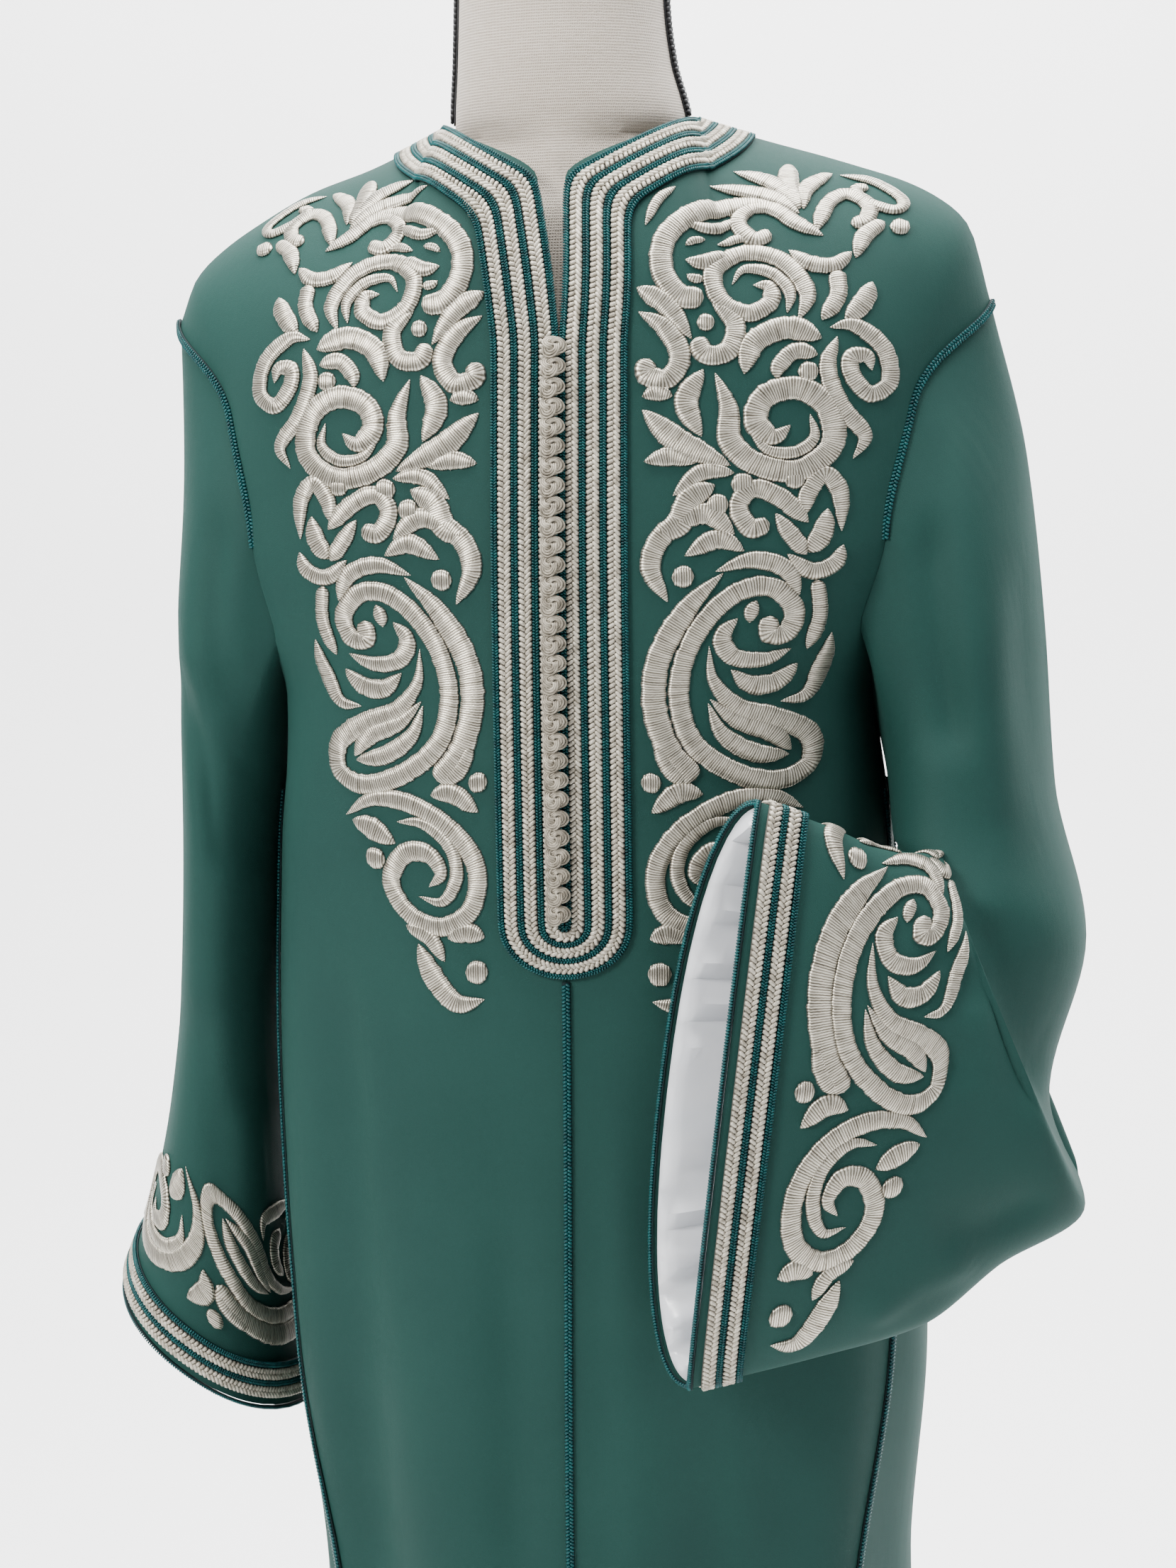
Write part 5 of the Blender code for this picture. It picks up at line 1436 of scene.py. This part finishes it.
def flowing(points, step):
    """A smooth curve through all the points, in even steps."""
    points = np.array(points, float)
    ends = np.vstack([2 * points[0] - points[1], points, 2 * points[-1] - points[-2]])
    t = np.linspace(0, 1, CURVE_STEPS, endpoint=False)[:, None]
    parts = []
    for a, b, c, d in zip(ends, ends[1:], ends[2:], ends[3:]):
        parts.append(0.5 * (2 * b + (c - a) * t + (2 * a - 5 * b + 4 * c - d) * t**2
                            + (3 * b - a - 3 * c + d) * t**3))
    fine = np.vstack(parts + [points[-1:]])
    run = lengths_along(fine)
    at = np.linspace(0, run[-1], max(int(run[-1] / step), 4) + 1)
    return np.stack([np.interp(at, run, fine[:, axis]) for axis in range(2)], 1), at


def narrowing(at, length, width, share):
    """How much of the full width a stroke has near its end: round for a zero share, else pointed."""
    reach = width / 2 if share == 0 else length * share
    t = np.clip(at / reach, 0, 1)
    return (1 - (1 - t) ** 2) ** (0.5 if share == 0 else 0.85)


def stitch_rows(motif, place_of, unevenness):
    """Rows of flat places across a stroke, with their heights over the cloth and their UV."""
    if isinstance(motif, Ball):
        reach = motif.radius * MM
        middle = np.array(place_of((motif.x, motif.height)))
        line = [middle - (reach, 0), middle, middle + (reach, 0)]
        width, head, tail = 2 * reach, 0, 0
    else:
        line = [place_of(point) for point in motif.line]
        width, head, tail = motif.width * MM, motif.head, motif.tail
    path, at = flowing(line, STITCH_STEP)
    way = unit(np.gradient(path, axis=0))
    side_way = np.stack([-way[:, 1], way[:, 0]], 1)
    share = narrowing(at, at[-1], width, head) * narrowing(at[-1] - at, at[-1], width, tail)
    jagged = 1 + JAGGED * unevenness.standard_normal((len(at), 2))
    half = width / 2 * np.maximum(share, THINNEST)
    across = np.concatenate([ACROSS_TOP, ACROSS_FOOT])
    reach = half[:, None] * across[None, :] * np.where(across > 0, jagged[:, :1], jagged[:, 1:])
    places = path[:, None, :] + side_way[:, None, :] * reach[..., None]
    padding = np.minimum(PADDING, half * PADDING_SHARE)[:, None] * np.sqrt(1 - abs(ACROSS_TOP) ** 3)[None, :]
    heights = np.concatenate([padding, np.zeros((len(at), len(ACROSS_FOOT)))], 1) + STITCH_LIFT
    along = np.stack([np.broadcast_to(at[:, None], reach.shape), reach], -1)
    return places, heights, along


def embroider(name, motifs, flat_map, place_of, seed):
    unevenness = np.random.default_rng(seed)
    rows = [stitch_rows(motif, place_of, unevenness) for motif in motifs]
    places, heights, along = (np.concatenate([row[n] for row in rows]) for n in range(3))
    ground, normals = flat_map.lay(places)
    points = (ground + normals * heights[..., None]).reshape(-1, 3)
    count = places.shape[1]
    faces, start = [], 0
    for row_places, _, _ in rows:
        length = len(row_places)
        faces += renumbered(capped_faces(length, count), start)
        start += length * count
    return add_piece(name, points, turned_out(points, faces), SATIN_STITCH,
                     along=along.reshape(-1, 2))


def on_chest(point):
    return point[0] * MM, point[1] * MM


CUFF_WIDTH_SHARE, CUFF_LENGTH_SHARE = 0.90, 1.10
CUFF_START, CUFF_TIER_FOOT, CHEST_INNER = 0.0370, 955, 36
AROUND_START = {-1: -0.010, 1: 0.016}


def on_cuff(side):
    """Lays the lower tiers along the cuff: out on the chest is inward here, and up is round the cuff."""
    def place(point):
        inward = CUFF_START + (point[0] - CHEST_INNER) * MM * CUFF_WIDTH_SHARE
        return inward, AROUND_START[side] + (point[1] - CUFF_TIER_FOOT) * MM * CUFF_LENGTH_SHARE
    return place


embroidery = []
for side, word in SIDES.items():
    embroidery.append(embroider("embroidery_chest_" + word, SHOULDER_TIER + BREAST_TIER + LOWER_TIERS,
                                CHEST_MAPS[side], on_chest, seed=11 + side))
    embroidery.append(embroider("embroidery_cuff_" + word, LOWER_TIERS, CUFF_MAPS[side], on_cuff(side),
                                seed=21 + side))
print("embroidery:", [(piece.name, len(piece.data.polygons)) for piece in embroidery])

# %% [markdown]
# ## The dress form and its stand
# The form is a padded body covered in linen. Its outline is that of the solid, cut finer, and its neck
# flares by about 3 mm just above the braids. The cap, pole and base are turned pieces, so each is one
# profile spun round, with the corners rounded as a lathe or a mould leaves them.

# %% Form
FormRing = namedtuple("FormRing", "z half front back squareness shift", defaults=[2.0, 0.0])
FORM_RINGS = [
    FormRing(0.800, 0.148, 0.104, 0.106, 2.15), FormRing(0.830, 0.155, 0.110, 0.112, 2.15),
    FormRing(0.900, 0.152, 0.107, 0.108, 2.15), FormRing(0.980, 0.128, 0.096, 0.086, 2.15),
    FormRing(1.050, 0.121, 0.095, 0.080, 2.15), FormRing(1.130, 0.132, 0.106, 0.080, 2.15),
    FormRing(1.210, 0.146, 0.110, 0.084, 2.15), FormRing(1.270, 0.160, 0.104, 0.084, 2.10),
    FormRing(1.320, 0.178, 0.094, 0.078, 2.00), FormRing(1.350, 0.187, 0.082, 0.069, 1.85),
    FormRing(1.372, 0.180, 0.073, 0.062, 1.65), FormRing(1.390, 0.160, 0.066, 0.056, 1.50),
    FormRing(1.404, 0.136, 0.059, 0.048, 1.30), FormRing(1.420, 0.090, 0.057, 0.045, 1.40, -0.001),
    FormRing(1.430, 0.067, 0.055, 0.048, 1.60, -0.002), FormRing(1.438, 0.0658, 0.055, 0.050, 2.00, -0.001),
    FormRing(1.450, 0.0640, 0.056, 0.051, 2.00, -0.002), FormRing(1.470, 0.0605, 0.056, 0.051, 2.00, -0.004),
    FormRing(1.500, 0.0580, 0.054, 0.050, 2.00, -0.005),
    FormRing(1.530, 0.0570, 0.053, 0.050, 2.00, -0.005),
]
FORM_SIDES, FORM_STEP, MEAN_GIRTH = 128, 0.006, 0.60
SHARP_TURNED = np.radians(50)


def form_ring(z):
    return [through(column_of(FORM_RINGS, "z"), column_of(FORM_RINGS, field), z)
            for field in ("half", "front", "back", "squareness", "shift")]


def form_points(turn, z):
    """Points on the form, turn in radians from the middle of the front."""
    turn, z = np.broadcast_arrays(np.asarray(turn, float), np.asarray(z, float))
    half, front, back, squareness, shift = form_ring(z)
    power = 2 / squareness
    x = shift + half * signed_power(np.sin(turn), power)
    y = -np.where(np.cos(turn) > 0, front, back) * signed_power(np.cos(turn), power)
    return np.stack([x, y, z], -1)


def closed_rings(name, grid, finish, along=None, replaced=()):
    """A closed piece through rings of points, with a flat face at each end."""
    points = grid.reshape(-1, 3)
    faces = turned_out(points, capped_faces(*grid.shape[:2]))
    made = add_piece(name, points, faces, finish, along=along, replaced=replaced)
    made.data.set_sharp_from_angle(angle=SHARP_TURNED)
    return made


form_z = np.arange(FORM_RINGS[0].z, FORM_RINGS[-1].z + FORM_STEP / 2, FORM_STEP)
form_z = np.append(form_z[form_z < FORM_RINGS[-1].z - FORM_STEP / 2], FORM_RINGS[-1].z)
form_turn = np.linspace(0, 2 * np.pi, FORM_SIDES, endpoint=False)
form_grid = form_points(form_turn[None, :], form_z[:, None])
form_round = abs(form_turn - np.pi) / (2 * np.pi) * MEAN_GIRTH
form_along = np.stack(np.broadcast_arrays(form_round, form_grid[..., 2]), -1).reshape(-1, 2)
form = closed_rings("form_linen", form_grid, LINEN, along=form_along, replaced=["form_body"])
print("form rings:", len(form_z))

# %% Tapes on the seams of the form
TAPE_WIDTH, TAPE_FOOT_Z, TAPE_TURN = 0.0062, 1.4400, np.radians(84)
TAPE_TOP_GAP, TAPE_STEPS = 0.0008, 60
for side, word in SIDES.items():
    tape_z = np.linspace(TAPE_FOOT_Z, FORM_RINGS[-1].z - TAPE_TOP_GAP, TAPE_STEPS)
    half_turn = TAPE_WIDTH / 2 / form_ring(tape_z)[1]
    lines = [form_points(side * TAPE_TURN + shift * half_turn, tape_z) for shift in (-1, 0, 1)]
    outward = unit(lines[1] * (1, 1, 0) - np.array([FORM_RINGS[-1].shift, 0.0, 0.0]))
    plait("form_tape_" + word, TAPE, *lines, outward, closed=False)
print("tapes from", TAPE_FOOT_Z, "to", FORM_RINGS[-1].z)

# %% Cap, pole, collar and base
CAP_HEIGHT, POLE_RADIUS = 0.014, 0.0125
BASE_RADIUS, BASE_HEIGHT = 0.165, 0.016
COLLAR_RADIUS, COLLAR_HEIGHT = 0.026, 0.040
ROUND_STEPS, TURNED_SIDES, NEAR_AXIS = 8, 96, 0.02


def rounded_profile(corners, radius):
    """(radius, height) places of a profile, with an arc in place of every corner between its ends."""
    corners = np.array(corners, float)
    profile = [corners[0]]
    for before, corner, after in zip(corners, corners[1:], corners[2:]):
        first = corner + unit(before - corner) * min(radius, np.linalg.norm(before - corner) / 2)
        last = corner + unit(after - corner) * min(radius, np.linalg.norm(after - corner) / 2)
        for t in np.linspace(0, 1, ROUND_STEPS):
            profile.append((1 - t) ** 2 * first + 2 * t * (1 - t) * corner + t**2 * last)
    profile.append(corners[-1])
    return np.array(profile)


def turned(name, radius, outline, rounding, finish, node, stretch=(1.0, 1.0, 1.0), shift=0.0):
    """A turned piece, closed near its axis. stretch is its half width and two depths for a radius of one."""
    foot, top = outline[0][1], outline[-1][1]
    corners = [(NEAR_AXIS * radius, foot), *outline, (NEAR_AXIS * radius, top)]
    profile = rounded_profile(corners, rounding)
    turn = np.linspace(0, 2 * np.pi, TURNED_SIDES, endpoint=False)[None, :]
    reach, z = profile[:, :1], profile[:, 1:]
    deep = np.where(np.cos(turn) > 0, stretch[1], stretch[2])
    grid = np.stack(np.broadcast_arrays(shift + reach * stretch[0] * np.sin(turn),
                                        -reach * deep * np.cos(turn), z), -1)
    return closed_rings(name, grid, finish, replaced=[node])


neck_ring = FORM_RINGS[-1]
cap_foot = neck_ring.z + SEAM_GAP
cap_outline = [(0.93, cap_foot), (0.91, cap_foot + CAP_HEIGHT * 0.6), (0.80, cap_foot + CAP_HEIGHT)]
turned("cap", 1.0, cap_outline, 0.0035, WOOD, "neck_cap",
       stretch=(neck_ring.half, neck_ring.front, neck_ring.back), shift=neck_ring.shift)
base_outline = [(BASE_RADIUS, 0.0), (BASE_RADIUS, BASE_HEIGHT * 0.6), (BASE_RADIUS * 0.94, BASE_HEIGHT)]
turned("base", BASE_RADIUS, base_outline, 0.003, PAINTED_METAL, "stand_base")
collar_foot = BASE_HEIGHT + SEAM_GAP
collar_top = collar_foot + COLLAR_HEIGHT
collar_outline = [(COLLAR_RADIUS, collar_foot), (COLLAR_RADIUS * 0.80, collar_foot + COLLAR_HEIGHT * 0.35),
                  (POLE_RADIUS * 1.25, collar_top)]
turned("collar", COLLAR_RADIUS, collar_outline, 0.002, PAINTED_METAL, "stand_collar")
pole_foot, pole_top = collar_top + SEAM_GAP, FORM_RINGS[0].z - SEAM_GAP
pole_outline = [(POLE_RADIUS, pole_foot), (POLE_RADIUS, pole_top)]
turned("pole", POLE_RADIUS, pole_outline, 0.001, WOOD, "stand_pole")
print("stand from the floor to", pole_top)

# %% [markdown]
# ## How the cloth was cut
# Each piece of cloth is listed with the size of its flat cut and how it is held. The area of a cut is
# measured on the panel itself and printed beside the stated one.

# %% Cuts
Cut = namedtuple("Cut", "width length area held")
CUTS = {
    "back": Cut(0.622, 1.446, 0.535, "draped"),
    "front_left": Cut(0.310, 1.450, 0.266, "draped"), "front_right": Cut(0.322, 1.450, 0.267, "draped"),
    "gore_left": Cut(0.283, 1.094, 0.183, "hung"), "gore_right": Cut(0.283, 1.094, 0.183, "hung"),
    "sleeve_left": Cut(0.594, 0.573, 0.213, "hung"), "sleeve_right": Cut(0.668, 0.761, 0.237, "folded"),
}


def panel_area(panel):
    corners = panel.grid.reshape(-1, 3)[panel.faces]
    crossed = np.cross(corners[:, 2] - corners[:, 0], corners[:, 3] - corners[:, 1])
    return np.linalg.norm(crossed, axis=1).sum() / 2


for name, cut in CUTS.items():
    print(name, "stated", cut.area, "measured", round(panel_area(panels[name]), 3), "square metres")

# %% [markdown]
# ## Floor, light and finish
# The garment stands on a plain pale floor that turns up into a pale wall. A broad light from the upper
# left models the folds, a weaker one from the right opens the shadows, and a pale world fills the rest.
# The back of the wall is clear, so that a camera placed behind it sees the garment too.

# %% Floor and backdrop
FLOOR_HALF, FLOOR_FRONT, FLOOR_BACK, BACKDROP_TOP, BEND = 6.0, -4.0, 2.6, 4.2, 1.0
BEND_STEPS = 17


def backdrop():
    turn = np.linspace(0, np.pi / 2, BEND_STEPS)
    side_view = [(FLOOR_FRONT, 0.0), (0.0, 0.0)]
    side_view += list(zip(FLOOR_BACK - BEND + BEND * np.sin(turn), BEND - BEND * np.cos(turn)))
    side_view.append((FLOOR_BACK, BACKDROP_TOP))
    points = [(x, y, z) for y, z in side_view for x in (-FLOOR_HALF, FLOOR_HALF)]
    faces = [(2 * n, 2 * n + 1, 2 * n + 3, 2 * n + 2) for n in range(len(side_view) - 1)]
    paper = Finish("backdrop_paper", roughness=0.9)
    fibres = paper.noise(paper.coordinates("Object"), 3.0, detail=3.0)
    paper.colour(paper.ramp(fibres, (0.3, (0.90, 0.90, 0.90)), (0.7, (0.92, 0.92, 0.92))))
    seen_from = paper.node("NewGeometry").outputs["Backfacing"]
    clear = paper.node("BsdfTransparent").outputs["BSDF"]
    one_way = paper.node("MixShader", Fac=seen_from)
    paper.tree.links.new(paper.shader.outputs["BSDF"], one_way.inputs[1])
    paper.tree.links.new(clear, one_way.inputs[2])
    paper.tree.links.new(one_way.outputs["Shader"], paper.tree.nodes["Material Output"].inputs["Surface"])
    mesh = bpy.data.meshes.new("backdrop")
    mesh.from_pydata(points, [], faces)
    mesh.materials.append(paper.material)
    mesh.shade_smooth()
    made = bpy.data.objects.new("backdrop", mesh)
    bpy.context.scene.collection.objects.link(made)
    return made


floor = backdrop()
print("backdrop faces:", len(floor.data.polygons))

# %% Lights
WORLD_COLOUR, WORLD_STRENGTH = (0.93, 0.95, 1.0, 1.0), 0.55
Lamp = namedtuple("Lamp", "name place target watts width colour")
LAMPS = [
    Lamp("key", (-1.9, -2.3, 2.8), (0.0, 0.0, 1.05), 165, 1.0, (1.0, 0.985, 0.96)),
    Lamp("fill", (2.4, -2.2, 1.5), (0.0, 0.0, 1.00), 18, 2.0, (0.95, 0.98, 1.0)),
    Lamp("rim", (1.2, 1.6, 2.4), (0.0, 0.0, 1.20), 26, 1.2, (1.0, 1.0, 1.0)),
    Lamp("wash", (0.0, 0.7, 3.6), (0.0, 2.6, 1.00), 480, 3.0, (1.0, 1.0, 1.0)),
]
for lamp in LAMPS:
    light_data = bpy.data.lights.new(lamp.name, "AREA")
    light_data.energy, light_data.size, light_data.color = lamp.watts, lamp.width, lamp.colour
    light = bpy.data.objects.new(lamp.name, light_data)
    light.location = lamp.place
    light.rotation_euler = (Vector(lamp.target) - Vector(lamp.place)).to_track_quat("-Z", "Y").to_euler()
    bpy.context.scene.collection.objects.link(light)
world = bpy.context.scene.world or bpy.data.worlds.new("world")
bpy.context.scene.world = world
world.use_nodes = True
background = world.node_tree.nodes["Background"]
background.inputs["Color"].default_value = WORLD_COLOUR
background.inputs["Strength"].default_value = WORLD_STRENGTH
print("lights:", ", ".join(lamp.name for lamp in LAMPS))
